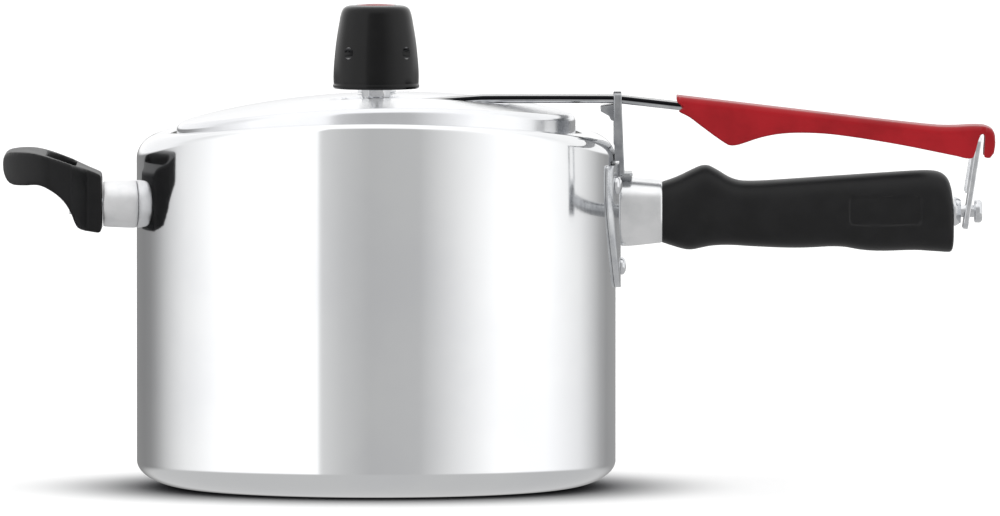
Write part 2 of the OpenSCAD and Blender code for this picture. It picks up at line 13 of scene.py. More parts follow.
import bpy
import numpy as np
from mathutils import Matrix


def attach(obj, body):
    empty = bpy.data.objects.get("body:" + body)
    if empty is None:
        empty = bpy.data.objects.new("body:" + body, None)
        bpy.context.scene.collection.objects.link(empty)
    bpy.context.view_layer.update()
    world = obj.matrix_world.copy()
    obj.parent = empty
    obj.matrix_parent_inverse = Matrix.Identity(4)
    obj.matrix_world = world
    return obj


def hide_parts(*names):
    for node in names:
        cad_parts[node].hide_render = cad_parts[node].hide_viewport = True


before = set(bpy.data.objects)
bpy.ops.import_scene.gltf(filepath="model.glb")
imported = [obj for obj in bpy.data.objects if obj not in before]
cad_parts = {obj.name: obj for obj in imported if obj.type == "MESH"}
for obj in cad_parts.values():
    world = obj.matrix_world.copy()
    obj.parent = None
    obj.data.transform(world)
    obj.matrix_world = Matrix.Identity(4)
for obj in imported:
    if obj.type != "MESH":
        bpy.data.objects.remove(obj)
LOG = logging.getLogger("canner")
MM = 0.001
SLEEVE_WALL = 1.2
Array = np.ndarray


# ---------------------------------------------------------------- surfaces


class Axis(Enum):
    """Which way the third local direction of a shape points in the row frame."""

    Z = "z"
    X = "x"
    BACK_Y = "-y"


def place(points: Array, axis: Axis) -> Array:
    """Turns local (a, b, c) points to the row frame without mirroring them.

    Args:
        points: array (..., 3) of local points, c along the shape's own axis.
        axis: Z keeps (a, b, c); X gives (c, a, b); BACK_Y gives (a, -c, b).

    Returns:
        The array in row-frame order.
    """
    a, b, c = points[..., 0], points[..., 1], points[..., 2]
    order = {Axis.Z: (a, b, c), Axis.X: (c, a, b), Axis.BACK_Y: (a, -c, b)}[axis]
    return np.stack(order, axis=-1)


@dataclass
class Shell:
    """Vertices and faces of one closed surface, in millimetres."""

    points: Array
    faces: list

    def joined(self, other: "Shell") -> "Shell":
        """Both shells as one."""
        shift = len(self.points)
        moved = [[i + shift for i in f] for f in other.faces]
        return Shell(np.concatenate([self.points, other.points]), self.faces + moved)


def skin(rings: Array, looped: bool = False, flat_ends: bool = False) -> Shell:
    """Closed skin through rings: quads between neighbours, and its two ends closed.

    The outside is on the side of (direction round a ring) x (direction from ring to ring).

    Args:
        rings: array (m, n, 3) of m rings of n points.
        looped: join the last ring to the first instead of closing the ends.
        flat_ends: close each end with one flat face instead of a fan to its middle.

    Returns:
        The shell.
    """
    m, n, _ = rings.shape
    points = rings.reshape(-1, 3)
    k = np.arange(m if looped else m - 1)[:, None] * n
    i = np.arange(n)[None, :]
    j = (i + 1) % n
    up = (k + n) % (m * n)
    quads = np.stack([k + i, k + j, up + j, up + i], axis=-1).reshape(-1, 4)
    faces = quads.tolist()
    if not looped:
        last = (m - 1) * n
        ring = np.arange(n)
        if flat_ends:
            faces += [ring[::-1].tolist(), (last + ring).tolist()]
        else:
            low, high = len(points), len(points) + 1
            points = np.concatenate([points, [rings[0].mean(0)], [rings[-1].mean(0)]])
            turn = (ring + 1) % n
            faces += np.stack([np.full(n, low), turn, ring], -1).tolist()
            faces += np.stack([np.full(n, high), last + ring, last + turn], -1).tolist()
    return Shell(points, faces)


def soften(points: Sequence, passes: int, closed: bool = True) -> Array:
    """Rounds a polyline by cutting its corners: each span keeps its points at 1/4 and 3/4.

    Args:
        points: array-like (n, d).
        passes: how often every corner is cut; each pass doubles the points.
        closed: whether the line closes on itself; an open line keeps its two ends.

    Returns:
        The rounded polyline.
    """
    p = np.asarray(points, float)
    for _ in range(passes):
        q = np.roll(p, -1, axis=0) if closed else p[1:]
        a = p if closed else p[:-1]
        cut = np.stack([0.75 * a + 0.25 * q, 0.25 * a + 0.75 * q], axis=1).reshape(-1, p.shape[1])
        p = cut if closed else np.concatenate([p[:1], cut, p[-1:]])
    return p


def dense(points: Sequence, step: float, closed: bool = True) -> Array:
    """The polyline with points added so that none is further than about step from the next."""
    p = np.asarray(points, float)
    q = np.concatenate([p, p[:1]]) if closed else p
    run = np.concatenate([[0.0], np.cumsum(np.linalg.norm(np.diff(q, axis=0), axis=1))])
    count = max(int(run[-1] / step), 8)
    at = np.linspace(0, run[-1], count, endpoint=not closed)
    return np.stack([np.interp(at, run, q[:, d]) for d in range(q.shape[1])], axis=-1)


def circle_angles(n: int) -> Array:
    """n angles round a circle."""
    return np.linspace(0, 2 * math.pi, n, endpoint=False)


def smoothstep(x: Array, low: float, high: float) -> Array:
    """0 below low, 1 above high, and 3t^2 - 2t^3 between."""
    t = np.clip((x - low) / (high - low), 0, 1)
    return t * t * (3 - 2 * t)


def box_distance(x: Array, y: Array, half_w: float, half_h: float, r: float) -> Array:
    """Distance from (x, y) to a centred rectangle with corners of radius r, negative inside it."""
    dx, dy = np.abs(x) - (half_w - r), np.abs(y) - (half_h - r)
    return np.hypot(np.maximum(dx, 0), np.maximum(dy, 0)) + np.minimum(np.maximum(dx, dy), 0) - r


def about_z(points: Array, angle: float) -> Array:
    """Points turned about the Z axis, anticlockwise from above."""
    c, s = math.cos(angle), math.sin(angle)
    return points @ np.array([[c, s, 0], [-s, c, 0], [0, 0, 1]])


def anticlockwise(loop: Array) -> Array:
    """The outline in anticlockwise order."""
    x, y = loop.T
    area = np.sum(x * np.roll(y, -1) - np.roll(x, -1) * y)
    return loop if area > 0 else loop[::-1]


def lathe(profile: Sequence, n: int, axis: Axis = Axis.Z, looped: bool = False) -> Shell:
    """Turns a profile: point k of the outline gives the ring (r cos t, r sin t, h).

    Args:
        profile: (radius, height) pairs, from the low end up the outside.
        n: points round the axis.
        axis: the axis it is turned about.
        looped: whether the profile is a closed outline, as of a tube.

    Returns:
        The shell.
    """
    p = np.asarray(profile, float)
    t = circle_angles(n)[None, :]
    r, h = p[:, :1], p[:, 1:]
    rings = np.stack([r * np.cos(t), r * np.sin(t), h + 0 * t], axis=-1)
    return skin(place(rings, axis), looped)


def slab(outline: Array, low: float, high: float, edge: float, axis: Axis) -> Shell:
    """Plate with rounded edges: the outline moved inward by e(1 - sin u) at height e(1 - cos u).

    Args:
        outline: (n, 2) points, anticlockwise.
        low: where the plate starts along its axis.
        high: where it ends.
        edge: radius e of the rounded edges.
        axis: the direction of its thickness.

    Returns:
        The shell.
    """
    ahead = np.roll(outline, -1, 0) - np.roll(outline, 1, 0)
    inward = np.stack([-ahead[:, 1], ahead[:, 0]], -1)
    inward /= np.maximum(np.linalg.norm(inward, axis=1, keepdims=True), 1e-9)
    u = np.linspace(0, math.pi / 2, 6)
    inset = edge * (1 - np.sin(u))
    rise = edge * (1 - np.cos(u))
    move = np.concatenate([inset, inset[::-1]])[:, None, None]
    at = np.concatenate([low + rise, high - rise[::-1]])[:, None]
    flat = outline[None] + inward[None] * move
    rings = np.concatenate([flat, np.broadcast_to(at[..., None], flat.shape[:2] + (1,))], axis=-1)
    return skin(place(rings, axis), flat_ends=True)


def sweep(path: Array, section: Array) -> Shell:
    """Carries a section along a path in the X-Z plane.

    A section point (y, s) at path point P with upward normal N lies at P + y Y + s N.

    Args:
        path: (m, 2) points in X and Z, towards +X.
        section: (n, 2) points, anticlockwise seen from +X.

    Returns:
        The shell.
    """
    along = np.gradient(path, axis=0)
    along /= np.linalg.norm(along, axis=1, keepdims=True)
    x = path[:, None, 0] - along[:, None, 1] * section[None, :, 1]
    z = path[:, None, 1] + along[:, None, 0] * section[None, :, 1]
    y = np.broadcast_to(section[None, :, 0], x.shape)
    return skin(np.stack([x, y, z], axis=-1), flat_ends=True)


def rounded_box(w: float, h: float, r: float, arc: int = 6) -> Array:
    """Anticlockwise outline of a w by h rectangle about the middle, corners of radius r."""
    u = np.linspace(0, math.pi / 2, arc)
    corner = np.stack([np.cos(u), np.sin(u)], -1) * r
    quarters = np.arange(4) * math.pi / 2
    turns = [np.array([[math.cos(q), math.sin(q)], [-math.sin(q), math.cos(q)]]) for q in quarters]
    a, b = w / 2 - r, h / 2 - r
    centres = np.array([(a, b), (-a, b), (-a, -b), (a, -b)])
    return np.concatenate([corner @ m + c for m, c in zip(turns, centres)])


def squircle(half_w: Array, low: Array, high: Array, n: int, power: float) -> tuple:
    """Rings (half_w c|c|^(p-1), mid + half s|s|^(p-1)) of a soft box; c and s are cosine and sine."""
    t = circle_angles(n)[None, :]
    c, s = np.cos(t), np.sin(t)
    y = half_w[:, None] * np.sign(c) * np.abs(c) ** power
    z = (low + high)[:, None] / 2 + (high - low)[:, None] / 2 * np.sign(s) * np.abs(s) ** power
    return y, z


def sleeve_rings(rows: Sequence, wall: float) -> tuple:
    """Soft-box rings of an oval sleeve, out along its outside and back along its inside.

    Args:
        rows: (station, half-width, half-height) of the outside, with its corners still sharp.
        wall: thickness of the sleeve.

    Returns:
        The stations as a column, and the rings' Y and Z.
    """
    x, half, tall = soften(rows, 2, closed=False).T
    outside = squircle(half, -tall, tall, 128, 0.78)
    inside = squircle(half[::-1] - wall, wall - tall[::-1], tall[::-1] - wall, 128, 0.78)
    y, z = (np.concatenate(pair) for pair in zip(outside, inside))
    return np.concatenate([x, x[::-1]])[:, None], y, z


def hexagon_nut(across: float, height: float, bore: float, n: int = 144) -> Shell:
    """Hexagon nut with chamfered corners: r = min(a / cos(t mod 60 - 30), corner cone at that height)."""
    t = circle_angles(n)
    flat = across / 2 / np.cos((t % (math.pi / 3)) - math.pi / 6)
    cham = 0.09 * across
    h = np.array([0, cham * 0.35, cham * 0.8, height - cham * 0.8, height - cham * 0.35, height])
    cone = across / 2 + np.minimum(h, height - h) * 1.9
    r = np.minimum(flat[None, :], cone[:, None])
    body = np.stack([r * np.cos(t), r * np.sin(t), np.broadcast_to(h[:, None], r.shape)], axis=-1)
    hole = np.stack([bore * np.cos(t) * np.ones((2, 1)), bore * np.sin(t) * np.ones((2, 1)),
                     np.array([[height], [0.0]]) * np.ones((1, n))], axis=-1)
    return skin(np.concatenate([body, hole]), looped=True)


# ---------------------------------------------------------------- pieces


def to_object(name: str, shell: Shell, sharp_deg: float = 38) -> bpy.types.Object:
    """Makes a Blender object of a shell, in metres, smooth but for edges sharper than sharp_deg."""
    mesh = bpy.data.meshes.new(name)
    mesh.from_pydata((shell.points * MM).tolist(), [], shell.faces)
    finish_mesh(mesh, sharp_deg)
    obj = bpy.data.objects.new(name, mesh)
    bpy.context.scene.collection.objects.link(obj)
    return obj


def finish_mesh(mesh: bpy.types.Mesh, sharp_deg: float) -> None:
    """Shades a mesh smooth except across its sharp edges."""
    mesh.validate()
    mesh.polygons.foreach_set("use_smooth", np.ones(len(mesh.polygons), bool))
    mesh.set_sharp_from_angle(angle=math.radians(sharp_deg))
    mesh.update()


class Cut(Enum):
    """How one solid acts on another."""

    AWAY = "DIFFERENCE"
    COMMON = "INTERSECT"
    JOIN = "UNION"


def carve(obj: bpy.types.Object, tools: Sequence, sharp_deg: float = 38) -> bpy.types.Object:
    """Applies cutting shells to an object and leaves no modifier on it.

    Args:
        obj: the piece.
        tools: (Cut, Shell) pairs, applied in order.
        sharp_deg: edges sharper than this stay crisp.

    Returns:
        The same object with its new mesh.
    """
    others = []
    for how, shell in tools:
        other = to_object("tool", shell)
        others.append(other)
        mod = obj.modifiers.new("cut", "BOOLEAN")
        mod.object, mod.operation, mod.solver = other, how.value, "EXACT"
    bake_modifiers(obj, sharp_deg)
    for other in others:
        bpy.data.objects.remove(other)
    return obj


def bake_modifiers(obj: bpy.types.Object, sharp_deg: float) -> None:
    """Replaces an object's mesh by what its modifiers make of it."""
    graph = bpy.context.evaluated_depsgraph_get()
    graph.update()
    mesh = bpy.data.meshes.new_from_object(obj.evaluated_get(graph))
    obj.modifiers.clear()
    obj.data = mesh
    finish_mesh(mesh, sharp_deg)


def melt(obj: bpy.types.Object, voxel: float, rounds: int) -> None:
    """Rounds every edge of a moulded piece: a voxel remesh, then repeated averaging of neighbours."""
    remesh = obj.modifiers.new("remesh", "REMESH")
    remesh.mode, remesh.voxel_size = "VOXEL", voxel * MM
    smooth = obj.modifiers.new("smooth", "SMOOTH")
    smooth.factor, smooth.iterations = 0.5, rounds
    bake_modifiers(obj, 180)


# ---------------------------------------------------------------- finishes


def linear(code: str) -> tuple:
    """An sRGB hex colour such as '#C8C9CB' as linear red, green, blue and alpha 1."""
    srgb = [int(code[i:i + 2], 16) / 255 for i in (1, 3, 5)]
    return tuple(c / 12.92 if c <= 0.04045 else ((c + 0.055) / 1.055) ** 2.4 for c in srgb) + (1.0,)


def per_metre(size_mm: float) -> float:
    """Texture scale at which one pattern cell is size_mm across in Object coordinates."""
    return 1000.0 / size_mm


def grey(value: float) -> tuple:
    """A linear grey with alpha 1."""
    return (value, value, value, 1.0)


def add_node(tree: bpy.types.NodeTree, kind: str, settings: Optional[dict] = None,
             **links: object) -> bpy.types.Node:
    """Adds a node, sets its properties, and fills or links its inputs.

    Args:
        tree: the node tree.
        kind: the node's type name.
        settings: properties of the node by name.
        links: input name (underscores for spaces, or i0, i1 by number) to a value or an output socket.

    Returns:
        The node.
    """
    node = tree.nodes.new(kind)
    for key, value in (settings or {}).items():
        setattr(node, key, value)
    for key, value in links.items():
        number = key[1:] if key[0] == "i" and key[1:].isdigit() else None
        socket = node.inputs[int(number)] if number else node.inputs[key.replace("_", " ")]
        if isinstance(value, bpy.types.NodeSocket):
            tree.links.new(value, socket)
        else:
            socket.default_value = value
    return node


def ease(tree: bpy.types.NodeTree, value: object, low: float, high: float) -> bpy.types.NodeSocket:
    """Output that eases from 0 at low to 1 at high."""
    return add_node(tree, "ShaderNodeMapRange", {"interpolation_type": "SMOOTHSTEP"}, Value=value,
                    From_Min=low, From_Max=high).outputs[0]


def mix_colour(tree: bpy.types.NodeTree, share: object, first: object,
               second: object) -> bpy.types.NodeSocket:
    """Output that is the first colour at share 0 and the second at share 1."""
    return add_node(tree, "ShaderNodeMix", {"data_type": "RGBA"}, i0=share, i6=first, i7=second).outputs[2]


def maths(tree: bpy.types.NodeTree, operation: str, *values: object) -> bpy.types.NodeSocket:
    """Output of a sum on the values, in their order."""
    inputs = {f"i{n}": value for n, value in enumerate(values)}
    return add_node(tree, "ShaderNodeMath", {"operation": operation}, **inputs).outputs[0]


@dataclass(frozen=True)
class Finish:
    """Base of every finish: a Principled surface with fine colour, roughness and height patterns."""

    name: str
    colour: str
    colour_low: str
    metallic: float
    roughness: float
    roughness_spread: float
    grain_mm: tuple
    bump_mm: float
    mottle_mm: float = 9.0
    specular: float = 0.5
    ior: float = 1.5
    painted_shade_attribute: str = ""
    painted_top_shade: str = "#000000"
    slot: str = "steel"

    def build(self) -> bpy.types.Material:
        """Makes the material.

        Grain is 3D noise stretched to grain_mm along X, Y and Z; it drives the bump and a little of the
        roughness. Mottle is slow noise that mixes the two colours as handling and polishing leave them.

        Returns:
            The material.
        """
        mat = bpy.data.materials.new(self.name)
        mat.use_nodes = True
        tree = mat.node_tree
        shader = tree.nodes["Principled BSDF"]
        where = add_node(tree, "ShaderNodeTexCoord").outputs["Object"]
        scale = tuple(per_metre(g) for g in self.grain_mm)
        fine = add_node(tree, "ShaderNodeMapping", None, Vector=where, Scale=scale)
        grain = add_node(tree, "ShaderNodeTexNoise", None, Vector=fine.outputs[0], Scale=1.0, Detail=3.0,
                         Roughness=0.6)
        mottle = add_node(tree, "ShaderNodeTexNoise", None, Vector=where, Scale=per_metre(self.mottle_mm),
                          Detail=4.0, Roughness=0.55)
        tone = ease(tree, mottle.outputs["Fac"], 0.35, 0.7)
        colour = mix_colour(tree, tone, linear(self.colour), linear(self.colour_low))
        # Painted top shade: over the upper share of the height the colour turns to a dark colour that stands
        # for shade.
        if self.painted_shade_attribute:
            upper = add_node(tree, "ShaderNodeAttribute", {"attribute_name": self.painted_shade_attribute})
            above = ease(tree, upper.outputs["Fac"], 0.42, 0.56)
            colour = mix_colour(tree, above, colour, linear(self.painted_top_shade))
        slow = maths(tree, "MULTIPLY", mottle.outputs["Fac"], 0.6)
        both = maths(tree, "MULTIPLY_ADD", grain.outputs["Fac"], 0.4, slow)
        rough = add_node(tree, "ShaderNodeMapRange", None, Value=both, From_Min=0.3, From_Max=0.7,
                         To_Min=max(self.roughness - self.roughness_spread, 0.02),
                         To_Max=self.roughness + self.roughness_spread)
        bump = add_node(tree, "ShaderNodeBump", None, Height=grain.outputs["Fac"], Distance=self.bump_mm * MM,
                        Strength=1.0)
        links = {"Base Color": colour, "Roughness": rough.outputs[0], "Normal": bump.outputs[0]}
        for key, out in links.items():
            tree.links.new(out, shader.inputs[key])
        shader.inputs["Metallic"].default_value = self.metallic
        if self.metallic < 0.5:
            shader.inputs["IOR"].default_value = self.ior
            shader.inputs["Specular IOR Level"].default_value = self.specular
        return mat


# Spun and buffed aluminium sheet: near-mirror, with faint level lines left by the polishing wheel.
BUFFED_POT = Finish("spun_aluminium_buffed", "#E4E5E6", "#DFE0E2", 1.0, 0.075, 0.008, (70, 70, 0.5), 0.0006,
                    mottle_mm=60, slot="pot_aluminium")
# Pressed aluminium lid: buffed a little softer than the pot's wall.
BUFFED_LID = Finish("pressed_aluminium_buffed", "#E3E4E6", "#DCDDE0", 1.0, 0.17, 0.02, (14, 0.5, 14), 0.0008,
                    mottle_mm=40, slot="lid_aluminium")
# Drawn aluminium sleeve, polished round its waist, so faint lines run round it.
BUFFED_SLEEVE = Finish("drawn_aluminium_polished", "#EDEDEE", "#DFE0E1", 1.0, 0.24, 0.03, (0.3, 30, 30),
                       0.0015, mottle_mm=14, slot="sleeve_aluminium")
# The smaller sleeve's duller satin, which gathers the pale room into an even light tone.
SATIN_SLEEVE = Finish("drawn_aluminium_satin", "#EDEDEE", "#DFE0E1", 1.0, 0.5, 0.03, (0.3, 30, 30), 0.0015,
                      mottle_mm=14, slot="sleeve_aluminium")
# Stamped bracket plate: tumbled, so it is softly dull with tiny dings.
TUMBLED_PLATE = Finish("stamped_aluminium_tumbled", "#D2D4D6", "#BEC0C4", 1.0, 0.2, 0.05, (0.7, 0.7, 0.7),
                       0.004, mottle_mm=6, slot="bracket_aluminium")
# Stamped stainless steel: rolling lines along its length.
ROLLED_STEEL = Finish("stainless_steel_rolled", "#AEB0B2", "#94969A", 1.0, 0.24, 0.06, (0.35, 0.35, 9), 0.003,
                      mottle_mm=6, slot="steel")
# Spring-steel strip: bright steel, with painted shade, a dark colour, over its top face and upper edge.
STRIP_WITH_PAINTED_TOP_SHADE = Finish("spring_steel_strip_painted_top_shade", "#C9CACC", "#B4B6B9", 1.0, 0.16, 0.04, (12, 0.4, 0.4), 0.002,
                     mottle_mm=8, painted_shade_attribute="upper", painted_top_shade="#17181A", slot="steel")
# Turned steel parts: zinc plated and bright.
PLATED_STEEL = Finish("turned_steel_bright_zinc", "#DCDDDF", "#C6C8CB", 1.0, 0.14, 0.04, (0.25, 6, 6), 0.002,
                      mottle_mm=5, slot="bright_steel")
# Phenolic handle moulding: near black with a satin skin and a faint orange-peel waviness.
PHENOLIC = Finish("phenolic_moulded_satin", "#141415", "#19191A", 0.0, 0.42, 0.04, (0.9, 0.9, 0.9), 0.008,
                  mottle_mm=11, specular=0.22, slot="black_plastic")
# The weight's phenolic cover: the same moulding compound with a glossier skin.
WEIGHT_PHENOLIC = Finish("phenolic_moulded_gloss", "#070708", "#0B0B0C", 0.0, 0.2, 0.03, (0.8, 0.8, 0.8),
                         0.004, mottle_mm=7, specular=0.24, slot="weight_plastic")
# Glass-filled nylon grip, pigmented red: satin skin with slight flow marks along its length.
RED_NYLON = Finish("glass_filled_nylon_red", "#A0131D", "#900D17", 0.0, 0.36, 0.04, (5, 0.9, 0.9), 0.005,
                   mottle_mm=16, specular=0.2, slot="red_plastic")
# The same pigment in a small insert, a little browner.
RED_INSERT = Finish("nylon_insert_red", "#8E0E18", "#7C0B14", 0.0, 0.34, 0.05, (0.8, 0.8, 0.8), 0.006,
                    mottle_mm=5, specular=0.3, slot="badge_plastic")
# Moulded silicone rubber: pale and matte, with a soft bloom.
SILICONE = Finish("silicone_rubber_moulded", "#C9C8C2", "#B9B8B1", 0.0, 0.62, 0.05, (0.8, 0.8, 0.8), 0.01,
                  mottle_mm=7, ior=1.41, slot="silicone")
# The safety plug's darker rubber.
DARK_RUBBER = Finish("silicone_rubber_dark", "#39393C", "#2C2C2F", 0.0, 0.55, 0.05, (0.8, 0.8, 0.8), 0.01,
                     mottle_mm=5, ior=1.41, slot="plug_silicone")


class Workshop:
    """Finishes pieces: gives each its material, body and the CAD node it stands for."""

    def __init__(self) -> None:
        """Starts with no material made."""
        self.made: dict = {}

    def material(self, finish: Finish) -> bpy.types.Material:
        """The finish's material, made once."""
        if finish.name not in self.made:
            self.made[finish.name] = finish.build()
        return self.made[finish.name]

    def fit(self, obj: bpy.types.Object, finish: Finish, body: str, *nodes: str) -> bpy.types.Object:
        """Dresses a new piece and ties it to the frame.

        Args:
            obj: the piece.
            finish: what it is made of.
            body: the CAD body it rides on.
            nodes: the CAD nodes it stands for.

        Returns:
            The piece.
        """
        obj.data.materials.clear()
        obj.data.materials.append(self.material(finish))
        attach(obj, body)
        if nodes:
            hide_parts(*nodes)
        LOG.info("%s: %d faces, %s on body %s", obj.name, len(obj.data.polygons), finish.name, body)
        return obj

    def dress(self, node: str, finish: Finish) -> None:
        """Gives a CAD node that stays its material."""
        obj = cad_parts[node]
        obj.data.materials.clear()
        obj.data.materials.append(self.material(finish))
        LOG.info("%s: kept, %s", node, finish.name)


# ---------------------------------------------------------------- pot


@dataclass
class Pot:
    """The pot: a drawn cup whose rim turns inward and is bent down towards the two handles."""

    radius: float = 102.5
    rim_h: float = 159.6
    wall: float = 2.4
    base_t: float = 3.6
    corner_w: float = 24.0
    corner_h: float = 11.5
    shoulder: tuple = (8.5, 2.8)
    mouth: tuple = (88.1, 93.0)
    bend_r: float = 516.0
    around: int = 320

    def bend(self, x: Array) -> Array:
        """Fall of the bent rim at x: x^2 / (2 R)."""
        return x * x / (2 * self.bend_r)

    def ovals(self, a: Array, b: Array, z: Array, bent: float = 1.0, lean: float = 0.0) -> Array:
        """Rings (a cos t, b sin t, z - bent x^2 / 2R + lean x), one for each a, b and z."""
        t = circle_angles(self.around)[None, :]
        a, b, z = (np.atleast_1d(v)[:, None] for v in (a, b, z))
        x, y = a * np.cos(t), b * np.sin(t)
        return np.stack([x, y, z - bent * self.bend(x) + lean * x], axis=-1)

    def shoulder_rings(self, turn: Array, inset: float) -> Array:
        """Shoulder of radius R(t) = Ry + (Rx - Ry) cos^6 t, from the wall (turn 0) to the rim (pi/2)."""
        t = circle_angles(self.around)[None, :]
        full = self.shoulder[1] + (self.shoulder[0] - self.shoulder[1]) * np.cos(t) ** 6
        turn = turn[:, None]
        r = self.radius - full + (full - inset) * np.cos(turn)
        x = r * np.cos(t)
        z = self.rim_h - self.bend(x) - full + (full - inset) * np.sin(turn)
        return np.stack([x, r * np.sin(t), z], axis=-1)

    def corner_rings(self, r: float, z: float, wide: float, tall: float) -> Array:
        """Quarter of an ellipse between base and wall: (r - w + w sin u, z + h (1 - cos u))."""
        u = np.linspace(0, math.pi / 2, 24)
        reach = r - wide + wide * np.sin(u)
        return self.ovals(reach, reach, z + tall * (1 - np.cos(u)), bent=0.0)

    def base_rings(self) -> Array:
        """Underside from the middle out, with shallow turned grooves 0.25 mm deep every 9 mm."""
        r = np.linspace(0.4, self.radius - self.corner_w - 0.8, 96)
        groove = 0.25 * np.exp(-(((r - 30) % 9 - 4.5) / 0.9) ** 2) * (r > 30)
        return self.ovals(r, r, groove, bent=0.0)

    def wall_rings(self, low: Array, high: Array, count: int) -> Array:
        """Rings between two others, evenly spaced and without the two themselves."""
        s = np.linspace(0, 1, count + 2)[1:-1, None, None]
        return low[None] * (1 - s) + high[None] * s

    def build(self) -> Shell:
        """The whole pot as one shell, from the middle of its underside to the middle of its floor."""
        quarter = np.linspace(0, math.pi / 2, 18)
        corner = self.corner_rings(self.radius, 0, self.corner_w, self.corner_h)
        outer = self.shoulder_rings(quarter, 0)
        inner = self.shoulder_rings(quarter[::-1], self.wall)
        floor_corner = self.corner_rings(self.radius - self.wall, self.base_t, self.corner_w - self.wall,
                                         self.corner_h - self.base_t)[::-1]
        u = np.linspace(0, math.pi, 13)
        half = self.wall / 2
        roll = half * (1 - np.sin(u))
        lip = self.ovals(self.mouth[0] + roll, self.mouth[1] + roll, self.rim_h - half + half * np.cos(u))
        land = self.wall_rings(outer[-1], lip[0], 6)
        under = self.wall_rings(lip[-1], inner[0], 6)
        r = np.linspace(self.radius - self.corner_w - 1, 0.4, 20)
        floor = self.ovals(r, r, np.full_like(r, self.base_t), bent=0.0)
        outside = [self.base_rings(), corner, self.wall_rings(corner[-1], outer[0], 10), outer, land]
        inside = [under, inner, self.wall_rings(inner[-1], floor_corner[0], 6), floor_corner, floor]
        return skin(np.concatenate([*outside, lip, *inside]))

    def make(self, shop: Workshop) -> None:
        """Builds and dresses the pot."""
        shop.fit(to_object("pot_shell", self.build(), 50), BUFFED_POT, "pot", "pot_body")


# ---------------------------------------------------------------- lid


@dataclass
class Lid:
    """The oval lid with its lever seat, gasket, vent and safety plug."""

    pot: Pot
    sheet: float = 2.2
    gap: float = 2.8
    flange_w: float = 3.5
    crown_h: float = 7.4
    fall: tuple = (2.2, 1.2)
    edge_side: float = 2.7
    edge_front: float = 2.9
    lean: float = 0.022
    seat_z: float = 162.5
    seat_box: tuple = (-17.0, 54.3, 10.9)
    gasket_lip: float = 1.7
    gasket_edge: float = 0.8
    clear: float = 0.3
    seat_corner: float = 6.0
    seat_slope: float = 2.6
    foot_fillet: float = 1.6

    def __post_init__(self) -> None:
        """Works out the heights and half-axes that follow from the pot."""
        self.plateau = tuple(m - self.gap for m in self.pot.mouth)
        self.flange = tuple(m + self.flange_w for m in self.pot.mouth)
        self.gasket_top = self.pot.rim_h - self.pot.wall - self.clear
        self.flange_z = self.gasket_top - self.gasket_lip
        self.crown_z = self.pot.rim_h + self.crown_h
        self.reach = (self.plateau[0] - self.edge_side, self.plateau[1] - self.edge_front)

    def seat_mask(self, x: Array, y: Array) -> Array:
        """1 on the lever seat and 0 off it, eased over the slope round its rounded rectangle."""
        low, high, half = self.seat_box
        away = box_distance(x - (low + high) / 2, y, (high - low) / 2, half, self.seat_corner)
        return 1 - smoothstep(away, 0.0, self.seat_slope)

    def dome(self, inset: float, count: int) -> Array:
        """Dome z = crown - Fx (x / a)^2 - Fy (y / b)^2, pressed down to the seat's level inside the seat."""
        s = np.linspace(0.004, 1, count)
        a, b = self.reach
        rings = self.pot.ovals(a * s, b * s, np.full_like(s, self.crown_z - inset), lean=self.lean)
        rings[..., 2] -= self.fall[0] * (rings[..., 0] / a) ** 2 + self.fall[1] * (rings[..., 1] / b) ** 2
        m = self.seat_mask(rings[..., 0], rings[..., 1])
        rings[..., 2] = np.minimum(rings[..., 2], rings[..., 2] * (1 - m) + (self.seat_z - inset) * m)
        return rings

    def edge(self, inset: float) -> Array:
        """Rounded edge from dome to upright wall, of radius R(t) = Rfront + (Rside - Rfront) cos^2 t."""
        t = circle_angles(self.pot.around)[None, :]
        u = np.linspace(0.2, math.pi / 2, 16)[:, None]
        full = self.edge_front + (self.edge_side - self.edge_front) * np.cos(t) ** 2
        reach = (full - inset) * np.sin(u) - full
        x = (self.plateau[0] + reach) * np.cos(t)
        edge = self.crown_z - self.fall[1] - (self.fall[0] - self.fall[1]) * np.cos(t) ** 2
        z = edge - full + (full - inset) * np.cos(u) - self.pot.bend(x) + self.lean * x
        return np.stack([x, (self.plateau[1] + reach) * np.sin(t), z], axis=-1)

    def shell(self) -> Shell:
        """The lid sheet: underside from the middle out, round the flange, and back over the top."""
        t, z, p, f = self.sheet, self.flange_z, self.plateau, self.flange
        u = np.linspace(-math.pi / 2, math.pi / 2, 7)
        out = t / 2 * np.cos(u) - t / 2
        brim = self.pot.ovals(f[0] + out, f[1] + out, z - t / 2 + t / 2 * np.sin(u))
        foot = self.pot.ovals(np.array([p[0] - t]), np.array([p[1] - t]), np.array([z - t]))
        u = np.linspace(0, math.pi / 2, 7)
        out = self.foot_fillet * (1 - np.sin(u))
        fillet = self.pot.ovals(p[0] + out, p[1] + out, z + self.foot_fillet * (1 - np.cos(u)))
        return skin(np.concatenate([self.dome(t, 60), self.edge(t), foot, brim, fillet,
                                    self.edge(0)[::-1], self.dome(0, 130)[::-1]]))

    def gasket(self) -> Shell:
        """Gasket: an L section carried round the flange, its outer corners rounded."""
        e, t, gap = self.gasket_edge, self.sheet, 0.05
        top, z, f = self.gasket_top, self.flange_z, self.flange
        inner = -1 - self.flange_w
        out, up = soften([(gap, z - t), (e, z - t), (e, top), (inner, top), (inner, z + gap),
                          (gap, z + gap)], 2).T
        return skin(self.pot.ovals(f[0] + out, f[1] + out, up), looped=True)

    def make(self, shop: Workshop) -> None:
        """Builds and dresses the lid and what is fixed in it."""
        shop.fit(to_object("lid_sheet", self.shell()), BUFFED_LID, "lid", "lid")
        shop.fit(to_object("lid_gasket_ring", self.gasket()), SILICONE, "lid", "lid_gasket")
        for node in ("vent_washer", "lever_grip_screws"):
            shop.dress(node, ROLLED_STEEL)
        shop.dress("vent_seal", SILICONE)


